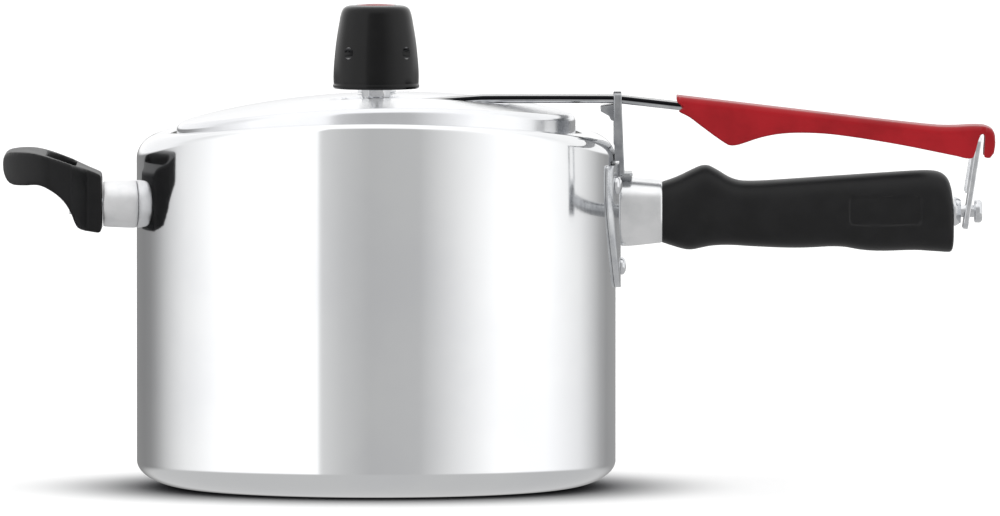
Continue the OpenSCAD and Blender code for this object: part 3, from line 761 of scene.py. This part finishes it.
@dataclass
class Vent:
    """Vent tube, its nut, and the safety plug with its seat."""

    lid: Lid
    nut_z: float = 166.5
    nut_h: float = 4.4
    across: float = 10.7
    thread_r: float = 4.0
    thread_depth: float = 0.3
    pitch: float = 1.25
    nozzle_r: float = 2.6
    nozzle_top: float = 188.6
    head_z: float = 154.7
    plug_y: float = 48.0

    def on_dome(self, shell: Shell) -> Shell:
        """Turns a shell to the dome's slope at the safety plug and moves it there."""
        drop, reach = self.lid.fall[1], self.lid.reach[1]
        tilt = math.atan(2 * drop * self.plug_y / reach ** 2)
        c, s = math.cos(tilt), math.sin(tilt)
        turn = np.array([[1, 0, 0], [0, c, -s], [0, s, c]])
        height = self.lid.crown_z - drop * (self.plug_y / reach) ** 2
        shell.points = shell.points @ turn + (0, self.plug_y, height)
        return shell

    def tube(self) -> Shell:
        """Tube and nozzle; a thread of depth d and pitch p cuts d |2 frac(z / p - t / 2 pi) - 1| off them."""
        h, top, end = self.head_z, self.nut_z + self.nut_h, self.nozzle_top
        outline = dense([(1.4, h - 3), (4.0, h - 3), (4.0, h), (8.0, h), (8.0, h + 4), (4.0, h + 4),
                         (4.0, top), (self.nozzle_r, top + 0.8), (self.nozzle_r, end - 1.4), (1.8, end),
                         (1.4, end)], 0.3)
        t = circle_angles(72)[None, :]
        r, z = outline[:, :1], outline[:, 1:]
        cut = self.thread_depth * np.abs(((z / self.pitch - t / (2 * math.pi)) % 1) * 2 - 1)
        threaded = (np.abs(r - self.thread_r) < 0.05) & (z > h + 4.5) & (z < top - 0.1)
        r = r - np.where(threaded, cut, 0.0)
        return skin(np.stack([r * np.cos(t), r * np.sin(t), z + 0 * t], axis=-1), looped=True)

    def plug(self) -> Shell:
        """Mushroom-shaped rubber plug, turned: a foot below the sheet and a dished cap above its ring."""
        foot = [(0.2, -6.2), (4.2, -6.2), (6.4, -4.7), (6.4, -3.2), (4.2, -3.2)]
        cap = [(4.2, 1.5), (6.8, 1.5), (6.6, 3.1), (4.4, 4.3), (2.6, 4.5), (2.4, 3.9), (0.2, 3.9)]
        return self.on_dome(lathe(soften(foot + cap, 2, closed=False), 72))

    def make(self, shop: Workshop) -> None:
        """Builds and dresses the vent's and plug's pieces."""
        shop.fit(to_object("vent_nozzle", self.tube(), 30), PLATED_STEEL, "lid", "vent_tube")
        nut = hexagon_nut(self.across, self.nut_h, self.thread_r + 0.1)
        nut.points[:, 2] += self.nut_z
        shop.fit(to_object("vent_hex_nut", nut, 25), PLATED_STEEL, "lid", "vent_nut")
        outline = [(4.5, 0.3), (8.0, 0.3), (8.4, 0.7), (8.2, 1.3), (7.6, 1.5), (4.5, 1.5)]
        ring = lathe(outline, 96, looped=True)
        shop.fit(to_object("safety_plug_ring", self.on_dome(ring)), PLATED_STEEL, "lid", "safety_seat")
        shop.fit(to_object("safety_plug_rubber", self.plug()), DARK_RUBBER, "lid", "safety_plug")


# ---------------------------------------------------------------- lever


@dataclass
class Lever:
    """The steel lever bar and the red grip over its end."""

    width: float = 19.0
    thick: float = 3.2
    low_z: float = 162.5
    high_z: float = 164.7
    bend_x: float = 103.3
    slope: float = math.tan(math.radians(6.6))
    grip_start: float = 128.6
    grip_w: float = 25.0
    grip_wall: float = 2.2
    grip_len: float = 136.6
    end_round: float = 1.2
    latch_lean: float = 0.157
    bar_end: float = 235.2

    def under(self, x: Array) -> Array:
        """Height of the bar's underside outside its bend."""
        return self.high_z - self.slope * (x - self.bend_x)

    def bar(self) -> bpy.types.Object:
        """The bar: a round-edged strip along its bent centre line, with each vertex's share of the height."""
        low, high = self.low_z, self.high_z
        x = [-15, 14, 18, 43, 47, self.bend_x - 2, self.bend_x + 2, self.bar_end]
        z = [low, low, low + 0.2, high - 0.2, high, high, high - self.slope * 2, self.under(self.bar_end)]
        line = np.stack([x, np.array(z) + self.thick / 2], -1)
        path = dense(soften(line, 3, closed=False), 1.5, closed=False)
        section = rounded_box(self.width, self.thick, 1.3, 8)
        obj = to_object("lever_bar_strip", sweep(path, section))
        # This share of the height places the strip's painted top shade.
        upper = obj.data.attributes.new("upper", "FLOAT", "POINT")
        upper.data.foreach_set("value", np.tile(section[:, 1] / self.thick + 0.5, len(path)))
        return obj

    def rows(self) -> Array:
        """Stations along the grip: X, its top, its underside and the roof of its hollow."""
        end = self.grip_len
        top = soften([(0, -2.7), (2, -2.75), (60, -2.6), (108, -2.5), (118, -3.3), (127, -5.0), (132.5, -5.0),
                      (135.6, -3.2), (136.5, 1.0), (end, 2.2)], 2, closed=False)
        fin = [(0, 3.6), (5, 5.2), (9.8, 8.4), (16, 12.3), (20.7, 15), (22.5, 15.7), (25, 15.4), (27.7, 14.4),
               (36.3, 10.4), (45.9, 7.6), (58, 6.1), (70, 5.7), (93.9, 6.7), (115.3, 8.6), (124, 9.4)]
        hook = [(127.4, 9.2), (128.4, 8.2), (129.2, -0.6), (130.6, -2.0), (131.9, -0.6), (132.4, 7.2),
                (133.0, 8.1), (135.4, 8.1), (136.0, 6.6), (end, 5.8)]
        belly = soften(fin + hook, 2, closed=False)
        roof = np.array([(0, -0.05), (112, -0.05), (124, -2), (127.5, -2.4), (131.6, -2.2), (132.6, 7.0),
                         (end, 5.0)])
        ends = self.end_round * (1 - np.cos(np.linspace(0, math.pi / 2, 5)))
        middle = [np.linspace(self.end_round, 126, 260), np.linspace(126, 135.4, 70)]
        x = np.unique(np.concatenate([ends, *middle, end - ends]))
        line = self.under(self.grip_start + x) + self.thick
        z = [line - np.interp(x, c[:, 0], c[:, 1]) for c in (top, belly, roof)]
        return np.stack([self.grip_start + x, z[0], z[1], np.clip(z[2], z[1] + 0.02, z[0] - 0.6)], axis=-1)

    def grip(self) -> Shell:
        """The grip: an upside-down U of side walls and roof carried along X.

        Its upper edges have radius 3 mm and its lower ones 0.8 mm. The far end is sheared by the latch's
        lean L, x + L (z - 150), and the near end is notched where the bar goes in.
        """
        x, top, low, roof = (c[:, None] for c in self.rows().T)
        half, wall = self.grip_w / 2, self.grip_wall
        u = np.linspace(0, math.pi / 2, 9)[None, :]
        tall = top - low
        r = np.minimum(3.0, tall * 0.45)
        e = np.minimum(0.8, tall * 0.2)
        shrink = np.clip(np.minimum(x - x[0], x[-1] - x) / self.end_round, 0, 1)
        half = half - 1.0 * (1 - np.sqrt(1 - (1 - shrink) ** 2))
        lower = (half - e * (1 - np.sin(u)), low + e * (1 - np.cos(u)))
        upper = (half - r * (1 - np.cos(u)), top - r * (1 - np.sin(u)))
        inner = half - wall
        span = np.linspace(0, 1, 7)[None, 1:-1]
        side = (half + 0 * span, low + e + (tall - e - r) * span)
        within = (inner + 0 * span, roof + (low - roof) * span)
        right_y = np.concatenate([lower[0], side[0], upper[0]], 1)
        right_z = np.concatenate([lower[1], side[1], upper[1]], 1)
        in_y = np.concatenate([inner + 0 * roof, within[0], inner + 0 * roof], 1)
        in_z = np.concatenate([roof, within[1], low], 1)
        y = np.concatenate([right_y, -right_y[:, ::-1], -in_y[:, ::-1], in_y], 1)
        z = np.concatenate([right_z, right_z[:, ::-1], in_z[:, ::-1], in_z], 1)
        start = self.grip_start
        far = smoothstep(x, 248.0, 254.0) * self.latch_lean * (z - 150.0)
        notch = 2.6 * np.clip(1 - np.abs(z - 163.0) / 2.4, 0, 1) * (1 - smoothstep(x, start, start + 5))
        x = np.minimum(x + far + notch * (np.abs(y) > 9), start + self.grip_len)
        return skin(np.stack([x, y, z], axis=-1), flat_ends=True)

    def make(self, shop: Workshop) -> None:
        """Builds and dresses the bar and the grip."""
        shop.fit(self.bar(), STRIP_WITH_PAINTED_TOP_SHADE, "lid", "lever_bar")
        grip = shop.fit(to_object("lever_grip_moulding", self.grip(), 50), RED_NYLON, "lid", "lever_grip")
        grip.visible_glossy = False


# ---------------------------------------------------------------- main handle


@dataclass
class MainHandle:
    """Bracket, rivets, fork, sleeve, handle moulding and catch nut."""

    pot_r: float = 102.5
    fork_half: float = 15.5
    foot_half: float = 13.0
    sleeve_len: float = 17.5
    axis_z: float = 118.1
    bracket_t: float = 2.1
    sleeve_start: float = 104.8
    start: float = 122.3
    length: float = 124.9
    half_w: float = 13.0
    head_r: float = 3.85
    bar_z: float = 164.7

    def bracket(self) -> Shell:
        """Shield plate: at height z its half-width w(z) lies on the cylinder x = sqrt(R^2 - y^2)."""
        rows = [(-32.3, 6), (-32.2, 10), (-28, 15), (-12, 24), (4, 30), (20.4, 30), (20.6, 27)]
        z, half = soften(rows, 3, closed=False).T
        u = np.linspace(-1, 1, 41)
        low, high = self.pot_r + 0.1, self.pot_r + 0.1 + self.bracket_t
        y = np.concatenate([u, u[::-1]])[None, :] * half[:, None]
        r = np.concatenate([np.full(41, low), np.full(41, high)])[None, :]
        edge = np.minimum(1.0, (1 - np.abs(np.concatenate([u, u[::-1]]))) * 12)[None, :]
        r = np.where(r > low, low + (high - low) * (0.35 + 0.65 * edge), r)
        x = np.sqrt(r * r - y * y)
        rings = np.stack([x, y, self.axis_z + np.broadcast_to(z[:, None], x.shape)], axis=-1)
        return skin(rings[:, ::-1])

    def rivets(self) -> Shell:
        """Domed rivet heads outside the bracket and flat ones inside the pot."""
        spots = [(-20.0, 12.0), (20.0, 12.0), (0.0, -23.4)]
        outer, inner = self.pot_r + self.bracket_t + 0.12, self.pot_r - 2.6
        r = self.head_r
        dome = [(0.2, outer), (r, outer), (r, outer + 0.7), (r * 0.86, outer + 1.5), (r * 0.55, outer + 2.05),
                (r * 0.2, outer + 2.2)]
        disc = [(0.2, inner - 2.0), (r - 0.4, inner - 2.0), (r, inner - 1.4), (r, inner), (0.2, inner)]
        shells = []
        for y, z in spots:
            angle = math.asin(y / (self.pot_r + self.bracket_t))
            for outline in (dome, disc):
                shell = lathe(outline, 48, Axis.X)
                shell.points = about_z(shell.points, angle) + (0, 0, self.axis_z + z)
                shells.append(shell)
        whole = shells[0]
        for shell in shells[1:]:
            whole = whole.joined(shell)
        return whole

    def fork(self) -> bpy.types.Object:
        """Sheet fork: a plate across X with an open slot, thicker towards its foot, a tab and a foot."""
        foot_z, top, low = self.axis_z + 15.4, self.bar_z + 4.2, self.bar_z - 0.5
        a, b = self.foot_half, self.fork_half
        outline = [(-a, foot_z), (a, foot_z), (a, foot_z + 14), (b, foot_z + 24), (b, top), (-b, top),
                   (-b, foot_z + 24), (-a, foot_z + 14)]
        loop = dense(soften(dense(outline, 2.0), 2), 0.7)
        shell = slab(loop, 101.6, 105.0, 0.5, Axis.X)
        share = np.clip((foot_z + 30 - shell.points[:, 2]) / 30, 0, 1)
        shell.points[:, 0] += np.where(shell.points[:, 0] > 103.3, 1.3 * share, 0)
        plate = to_object("lever_fork", shell)
        slot = rounded_box(20.0, 14.0, 1.5) + (0, low + 7)
        foot = rounded_box(6.0, 2 * a, 1.4) + (106.7, 0)
        tab = np.array([(102.6, low), (102.6, low - 7), (100.6, low - 7), (99.6, low - 5), (96.0, low - 3),
                        (96.0, low - 0.9)])
        drums = [lathe([(0.2, foot_z - 2), (r, foot_z - 2), (r, end), (0.2, end)], 360)
                 for r, end in ((104.8, self.axis_z + 22), (102.8, 147))]
        tools = [(Cut.JOIN, slab(dense(foot, 0.8), foot_z, foot_z + 1.4, 0.4, Axis.Z)),
                 (Cut.JOIN, slab(anticlockwise(dense(tab, 0.8)), -8.5, 8.5, 0.4, Axis.BACK_Y)),
                 (Cut.AWAY, slab(dense(slot, 1.0), 95, 110, 0.1, Axis.X)),
                 *((Cut.AWAY, drum) for drum in drums)]
        return carve(plate, tools)

    def sleeve(self) -> Shell:
        """Oval sleeve with rolled ends, its near end following the bracket's curve."""
        rows = [(0, 13.8, 14.6), (0.5, 14.2, 15.0), (5, 14.0, 14.8), (12, 13.0, 14.0), (17, 12.3, 13.5),
                (self.sleeve_len, 12.0, 13.2)]
        along, y, z = sleeve_rings(rows, SLEEVE_WALL)
        wall = self.sleeve_start - 0.1
        x = self.sleeve_start + along - (1 - along / self.sleeve_len) * (wall - np.sqrt(wall * wall - y * y))
        return skin(np.stack([x, y, self.axis_z + z], axis=-1), looped=True)

    def grip(self) -> Shell:
        """Handle moulding: soft-box rings along X between a waved top and underside, rounded at its end.

        A rounded pad on each cheek is sunk 0.8 mm, over a 0.9 mm slope.
        """
        rows = [(0.05, 0.9, -13.3, 12.6), (7, 1, -15.6, 15), (12, 1, -16.7, 17.6), (18.3, 1, -15.2, 20.4),
                (23, 1, -14.5, 18.3), (30.3, 1, -14.4, 13.6), (38, 1, -15, 12.8), (58.5, 1, -15.9, 14.2),
                (76, 1, -14.7, 15.4), (85, 1, -16.6, 16), (94, 1, -17.1, 16.6), (108, 1, -16.5, 17.5),
                (115, 1, -17, 17.7), (119.5, 0.99, -17.3, 16.8), (122.3, 0.96, -17.5, 14.4),
                (123.8, 0.92, -17.3, 10.5), (124.6, 0.84, -15.6, 5), (124.85, 0.7, -13, 1)]
        p = dense(soften(rows, 3, closed=False), 0.42, closed=False)
        x, half, low, high = p[:, 0], p[:, 1] * self.half_w, p[:, 2], p[:, 3]
        y, z = squircle(half, low, high, 160, 0.72)
        x = np.broadcast_to(x[:, None], y.shape)
        away = box_distance(x - 95.5, z - 0.7, 15.8, 6.6, 2.6)
        y = y - np.sign(y) * 0.8 * (1 - smoothstep(away, -0.9, 0.0)) * (np.abs(y) > 8)
        return skin(np.stack([self.start + x, y, self.axis_z + z], axis=-1))

    def catch(self) -> Shell:
        """Catch nut, turned about the handle's axis: cone, neck and rounded head."""
        x0 = self.start + self.length
        cone = [(0.2, 0.1), (6.3, 0.1), (6.3, 0.8), (4.9, 3.0), (2.6, 3.0)]
        head = [(2.6, 8.8), (4.5, 8.8), (4.9, 9.3), (4.9, 11.0), (4.6, 11.7), (3.8, 12.15), (0.2, 12.2)]
        shell = lathe(cone + head, 96, Axis.X)
        shell.points += (x0, 0, self.axis_z)
        return shell

    def make(self, shop: Workshop) -> None:
        """Builds and dresses everything fixed at the main handle."""
        shop.fit(to_object("bracket_shield", self.bracket()), TUMBLED_PLATE, "pot", "handle_bracket")
        shop.fit(to_object("bracket_rivet_heads", self.rivets()), PLATED_STEEL, "pot", "bracket_rivets")
        shop.fit(self.fork(), ROLLED_STEEL, "pot", "fork")
        sleeve = to_object("main_handle_sleeve", self.sleeve())
        sleeve.visible_glossy = False
        shop.fit(sleeve, BUFFED_SLEEVE, "pot", "handle_ferrule")
        grip = shop.fit(to_object("main_handle_moulding", self.grip()), PHENOLIC, "pot", "main_handle")
        grip.visible_glossy = False
        shop.fit(to_object("catch_nut_turned", self.catch()), PLATED_STEEL, "pot", "catch_nut")
        shop.dress("handle_rod", ROLLED_STEEL)


@dataclass
class Latch:
    """The link plate on the catch nut's neck."""

    neck_x: float = 253.1
    axis_z: float = 118.1
    lean_deg: float = 8.9
    width: float = 19.0
    thick: float = 2.2
    below: float = 7.4
    above: float = 32.4
    hole_d: float = 7.2
    window: tuple = (8.0, 4.5, 4.0)

    def make(self, shop: Workshop) -> None:
        """Builds the plate upright with folded edges, cuts its openings, leans it out and dresses it."""
        low, gap, side = self.window
        plate = rounded_box(self.width, self.above + self.below, 3.0) + (0, (self.above - self.below) / 2)
        hole = rounded_box(self.hole_d, self.hole_d, self.hole_d / 2 - 0.01)
        window = rounded_box(self.width - 2 * side, self.above - gap - low, 2.0)
        window += (0, (self.above - gap + low) / 2)
        t = self.thick / 2
        obj = to_object("latch_link_plate", slab(dense(plate, 0.8), -t, t, 0.4, Axis.X))
        tools = []
        for hand in (-1, 1):
            fold = rounded_box(2.2, 1.5, 0.6) + (-t - 0.5, hand * (self.width / 2 - 0.8))
            tools.append((Cut.JOIN, slab(dense(fold, 0.4), low, self.above - 1.5, 0.5, Axis.Z)))
        tools += [(Cut.AWAY, slab(dense(o, 0.6), -3, 3, 0.1, Axis.X)) for o in (hole, window)]
        carve(obj, tools)
        co = np.empty(len(obj.data.vertices) * 3)
        obj.data.vertices.foreach_get("co", co)
        a = math.radians(self.lean_deg)
        turn = np.array([[math.cos(a), 0, -math.sin(a)], [0, 1, 0], [math.sin(a), 0, math.cos(a)]])
        co = co.reshape(-1, 3) @ turn + np.array([self.neck_x, 0, self.axis_z]) * MM
        obj.data.vertices.foreach_set("co", co.ravel())
        obj.data.update()
        shop.fit(obj, PLATED_STEEL, "catch_link", "latch_link")


# ---------------------------------------------------------------- helper handle


@dataclass
class HelperHandle:
    """Short loop handle opposite the main one, on its own sleeve."""

    pot_r: float = 102.5
    axis_z: float = 121.2
    sleeve_len: float = 14.2
    width: float = 66.0

    def sleeve(self) -> Shell:
        """Oval sleeve drawn towards -X, its near end following the pot's wall."""
        end = self.sleeve_len - 0.1
        rows = [(0, 14.6, 9.8), (0.5, 15, 10.2), (6, 14.8, 10.05), (end - 0.7, 14.3, 9.7), (end, 14.0, 9.4)]
        along, y, z = sleeve_rings(rows, SLEEVE_WALL)
        x = self.pot_r + 0.12 + along - (1 - along / end) * (self.pot_r - np.sqrt(self.pot_r ** 2 - y * y))
        return skin(np.stack([-x, -y, self.axis_z + z], axis=-1), looped=True)

    def loop(self) -> bpy.types.Object:
        """Loop moulding: side outline across Y, met by the plan outline, with the finger hole cut through."""
        x0 = -(self.pot_r + self.sleeve_len + 0.4)
        over = [(0.2, 12.6), (1.0, 13.4), (10, 17.0), (21, 21.0), (29, 23.2), (36, 23.4), (40.2, 22.9)]
        tip = [(41.9, 21.6), (42.65, 17.6), (41.9, 12.6), (39.6, 9.4)]
        below = [(36.4, 8.9), (31, 9.2), (26.4, 9.6), (21.3, 7), (16.6, 3.2), (13.2, -2), (11.4, -7.6),
                 (10, -9.8), (7, -10.9), (0.8, -11.9), (0.2, -11.2)]
        half, base = self.width / 2, 16.0
        t = np.radians(np.arange(90, -91, -6))
        plan = np.concatenate([[(-0.2, base), (6, base + 1), (13, half - 4)],
                               np.stack([22 + 21.6 * np.cos(t), (half + 0.3) * np.sin(t)], -1),
                               [(13, 4 - half), (6, -base - 1), (-0.2, -base)]])
        flip = np.array([-1.0, 1.0])
        side = anticlockwise(dense(soften(np.array(over + tip + below) * flip + (x0, self.axis_z), 2), 1.0))
        plan = anticlockwise(dense(plan * flip + (x0, 0), 1.0))
        hole = anticlockwise(dense(rounded_box(12.5, 52.5, 6.2) * flip + (x0 - 17.75, 0), 1.0))
        body = to_object("helper_handle_moulding", slab(side, -half - 1, half + 1, 0.2, Axis.BACK_Y))
        cuts = ((Cut.COMMON, plan), (Cut.AWAY, hole))
        carve(body, [(how, slab(loop, 90, 160, 0.2, Axis.Z)) for how, loop in cuts])
        melt(body, 0.8, 5)
        return body

    def make(self, shop: Workshop) -> None:
        """Builds and dresses the helper handle's pieces."""
        shop.fit(to_object("helper_handle_sleeve", self.sleeve()), SATIN_SLEEVE, "pot", "helper_ferrule")
        shop.fit(self.loop(), PHENOLIC, "pot", "helper_handle")
        nut = hexagon_nut(8.66, 2.5, 2.7)
        nut.points = place(nut.points, Axis.X) + (-(self.pot_r + self.sleeve_len + 14.6), 0, self.axis_z)
        shop.fit(to_object("helper_hex_nut", nut, 25), PLATED_STEEL, "pot", "helper_nut")
        shop.dress("helper_bolt", PLATED_STEEL)


# ---------------------------------------------------------------- weight


@dataclass
class PressureWeight:
    """The lift-off weight: hollow cover, core and red insert."""

    z: float = 170.6
    hole_r: float = 2.5
    hole_h: float = 15.6
    hole_start_deg: float = 48.0

    def cover(self) -> bpy.types.Object:
        """Cover: a closed turned outline with a web round the core, and steam holes bored into the web."""
        bead = [(17.2, 0), (18.0, 0.1), (18.45, 0.7), (18.5, 1.6), (18.15, 2.2)]
        outside = [(18.3, 3.2), (18.3, 7), (17.95, 12), (17.4, 17.5), (16.7, 23), (15.8, 28), (15.3, 31),
                   (14.8, 33), (13.9, 34.6), (12.2, 35.5), (9.2, 35.8), (8.5, 35.8)]
        web = [(14.9, 23), (14.4, 19.6), (9.4, 19.4), (9.4, 11.8), (15.0, 11.6), (16.6, 9.6)]
        inside = [(8.5, 34.2), (11.8, 33.6), (13, 32.2), (13.8, 29), (14.6, 25), *web, (17, 3), (16.9, 0.5)]
        outline = soften(bead + outside + inside, 2) + (0, self.z)
        obj = to_object("weight_cover_turned", lathe(outline, 192, looped=True), 45)
        tools = []
        for k in range(4):
            angle = math.radians(self.hole_start_deg + 90 * k)
            bore = lathe([(self.hole_r, 9.8), (self.hole_r, 22)], 32, Axis.X)
            bore.points = about_z(bore.points, angle) + (0, 0, self.z + self.hole_h)
            tools.append((Cut.AWAY, bore))
        return carve(obj, tools, 35)

    def make(self, shop: Workshop) -> None:
        """Builds and dresses the weight's pieces."""
        cover = self.cover()
        cover.visible_glossy = False
        shop.fit(cover, WEIGHT_PHENOLIC, "weight", "weight_cover")
        badge = soften([(0.2, 34.05), (8.3, 34.05), (8.3, 35.7), (7.4, 35.95), (6.4, 35.8), (5.6, 36.0),
                        (3, 36.25), (0.2, 36.3)], 2, closed=False)
        insert = to_object("weight_insert", lathe(badge + (0, self.z), 96))
        shop.fit(insert, RED_INSERT, "weight", "weight_badge")
        shop.dress("weight_core", PLATED_STEEL)


# ---------------------------------------------------------------- studio


@dataclass
class Studio:
    """Pale floor, soft light from all round, and the camera."""

    aim: tuple = (0.053, 0.0, 0.098)
    distance: float = 9.0
    elevation_deg: float = 2.8
    lens: float = 756.8
    # Brightness of the room by compass angle from the front, positive to the right, as a share of the lamps.
    room: tuple = ((-180, 0.2), (-149, 0.2), (-140, 0.225), (-134, 0.285), (-128, 0.38), (-123, 0.48),
                   (-114, 0.635), (-105, 0.765), (-98, 0.83), (-82, 1.0), (-28, 1.0), (-26.4, 0.6),
                   (-15, 0.49), (-3, 0.425), (21, 0.45), (41, 0.73), (62, 1.0), (90, 1.0), (116, 0.76),
                   (138, 0.355),
                   (147, 0.27), (180, 0.27))
    lamps: float = 1.35
    low: float = 0.47
    back_wall: float = 0.86
    floor_half: float = 30.0
    floor_cells: int = 24

    def floor(self) -> None:
        """Level matt floor, its colour painted dark round the pot's base as a contact shadow."""
        n = self.floor_cells
        x = np.linspace(-self.floor_half, self.floor_half, n + 1)
        pts = np.stack(np.broadcast_arrays(x[None, :], x[:, None], 0.0), -1).reshape(-1, 3)
        k = np.arange(n)[:, None] * (n + 1) + np.arange(n)[None, :]
        faces = np.stack([k, k + 1, k + n + 2, k + n + 1], -1).reshape(-1, 4)
        mesh = bpy.data.meshes.new("studio_floor")
        mesh.from_pydata(pts.tolist(), [], faces.tolist())
        obj = bpy.data.objects.new("studio_floor", mesh)
        bpy.context.scene.collection.objects.link(obj)
        mat = bpy.data.materials.new("matt_floor_painted_shadow")
        mat.use_nodes = True
        shader = mat.node_tree.nodes["Principled BSDF"]
        tree = mat.node_tree
        where = add_node(tree, "ShaderNodeTexCoord").outputs["Object"]
        away = add_node(tree, "ShaderNodeVectorMath", {"operation": "LENGTH"}, i0=where)
        # Painted shadow: the colour turns dark grey from about 170 mm in to 66 mm from the pot's axis.
        shade = add_node(tree, "ShaderNodeMapRange", {"interpolation_type": "SMOOTHERSTEP"},
                         Value=away.outputs["Value"], From_Min=0.066, From_Max=0.17)
        paper_with_painted_shadow = mix_colour(tree, shade.outputs[0], linear("#3A3B3F"), linear("#FCFCFC"))
        tree.links.new(paper_with_painted_shadow, shader.inputs["Base Color"])
        shader.inputs["Roughness"].default_value = 0.95
        shader.inputs["Specular IOR Level"].default_value = 0.0
        mesh.materials.append(mat)
        obj.visible_glossy = False

    def light(self) -> None:
        """Room light: brightness by compass angle at eye level, white overhead and grey underneath.

        The wall behind the object is pale above the horizon. A path that has bounced off a diffuse surface
        gets nothing from below, and the room itself is seen as plain white.
        """
        world = bpy.data.worlds.new("soft_studio")
        world.use_nodes = True
        bpy.context.scene.world = world
        tree = world.node_tree
        back = tree.nodes["Background"]
        way = add_node(tree, "ShaderNodeTexCoord").outputs["Generated"]
        x, y, z = add_node(tree, "ShaderNodeSeparateXYZ", None, Vector=way).outputs
        angle = maths(tree, "ARCTAN2", x, maths(tree, "MULTIPLY", y, -1.0))
        share = add_node(tree, "ShaderNodeMapRange", None, Value=angle, From_Min=-math.pi, From_Max=math.pi)
        ramp = add_node(tree, "ShaderNodeValToRGB", None, Fac=share.outputs[0])
        stops = ramp.color_ramp.elements
        while len(stops) < len(self.room):
            stops.new(0.5)
        for stop, (deg, value) in zip(stops, self.room):
            stop.position = deg / 360 + 0.5
            stop.color = grey(value)
        deep = ease(tree, z, -0.14, -0.34)
        behind = ease(tree, maths(tree, "ABSOLUTE", angle), math.radians(95), math.radians(125))
        back_lit = maths(tree, "MULTIPLY", behind, ease(tree, z, -0.02, 0.05))
        wall = mix_colour(tree, back_lit, ramp.outputs[0], grey(self.back_wall))
        over = mix_colour(tree, ease(tree, z, 0.5, 0.85), wall, grey(1.0))
        under = mix_colour(tree, deep, over, grey(self.low))
        path = add_node(tree, "ShaderNodeLightPath")
        shade = mix_colour(tree, path.outputs["Diffuse Depth"], under, grey(0.0))
        lit = mix_colour(tree, deep, under, shade)
        seen = mix_colour(tree, path.outputs["Is Camera Ray"], lit, grey(1.0))
        tree.links.new(seen, back.inputs["Color"])
        back.inputs["Strength"].default_value = self.lamps

    def camera(self) -> None:
        """Camera a little above the pot's middle and far away, so that verticals stay parallel."""
        e = math.radians(self.elevation_deg)
        x, y, z = self.aim
        data = bpy.data.cameras.new("view")
        data.lens, data.sensor_width, data.clip_end = self.lens, 36.0, 90.0
        cam = bpy.data.objects.new("view", data)
        cam.location = (x, y - self.distance * math.cos(e), z + self.distance * math.sin(e))
        cam.rotation_euler = (math.pi / 2 - e, 0, 0)
        bpy.context.scene.collection.objects.link(cam)
        bpy.context.scene.camera = cam

    def build(self) -> None:
        """Sets floor, light, camera and a neutral view transform."""
        self.floor()
        self.light()
        self.camera()
        bpy.context.scene.view_settings.view_transform = "Standard"


def main() -> None:
    """Builds every sub-assembly in order."""
    logging.basicConfig(level=logging.INFO, format="%(name)s %(message)s")
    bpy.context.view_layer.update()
    shop = Workshop()
    pot = Pot()
    lid = Lid(pot)
    for part in (pot, lid, Vent(lid), Lever(), MainHandle(), Latch(), HelperHandle(), PressureWeight()):
        LOG.info("building %s", type(part).__name__)
        part.make(shop)
    Studio().build()


if __name__ == "__main__":
    main()
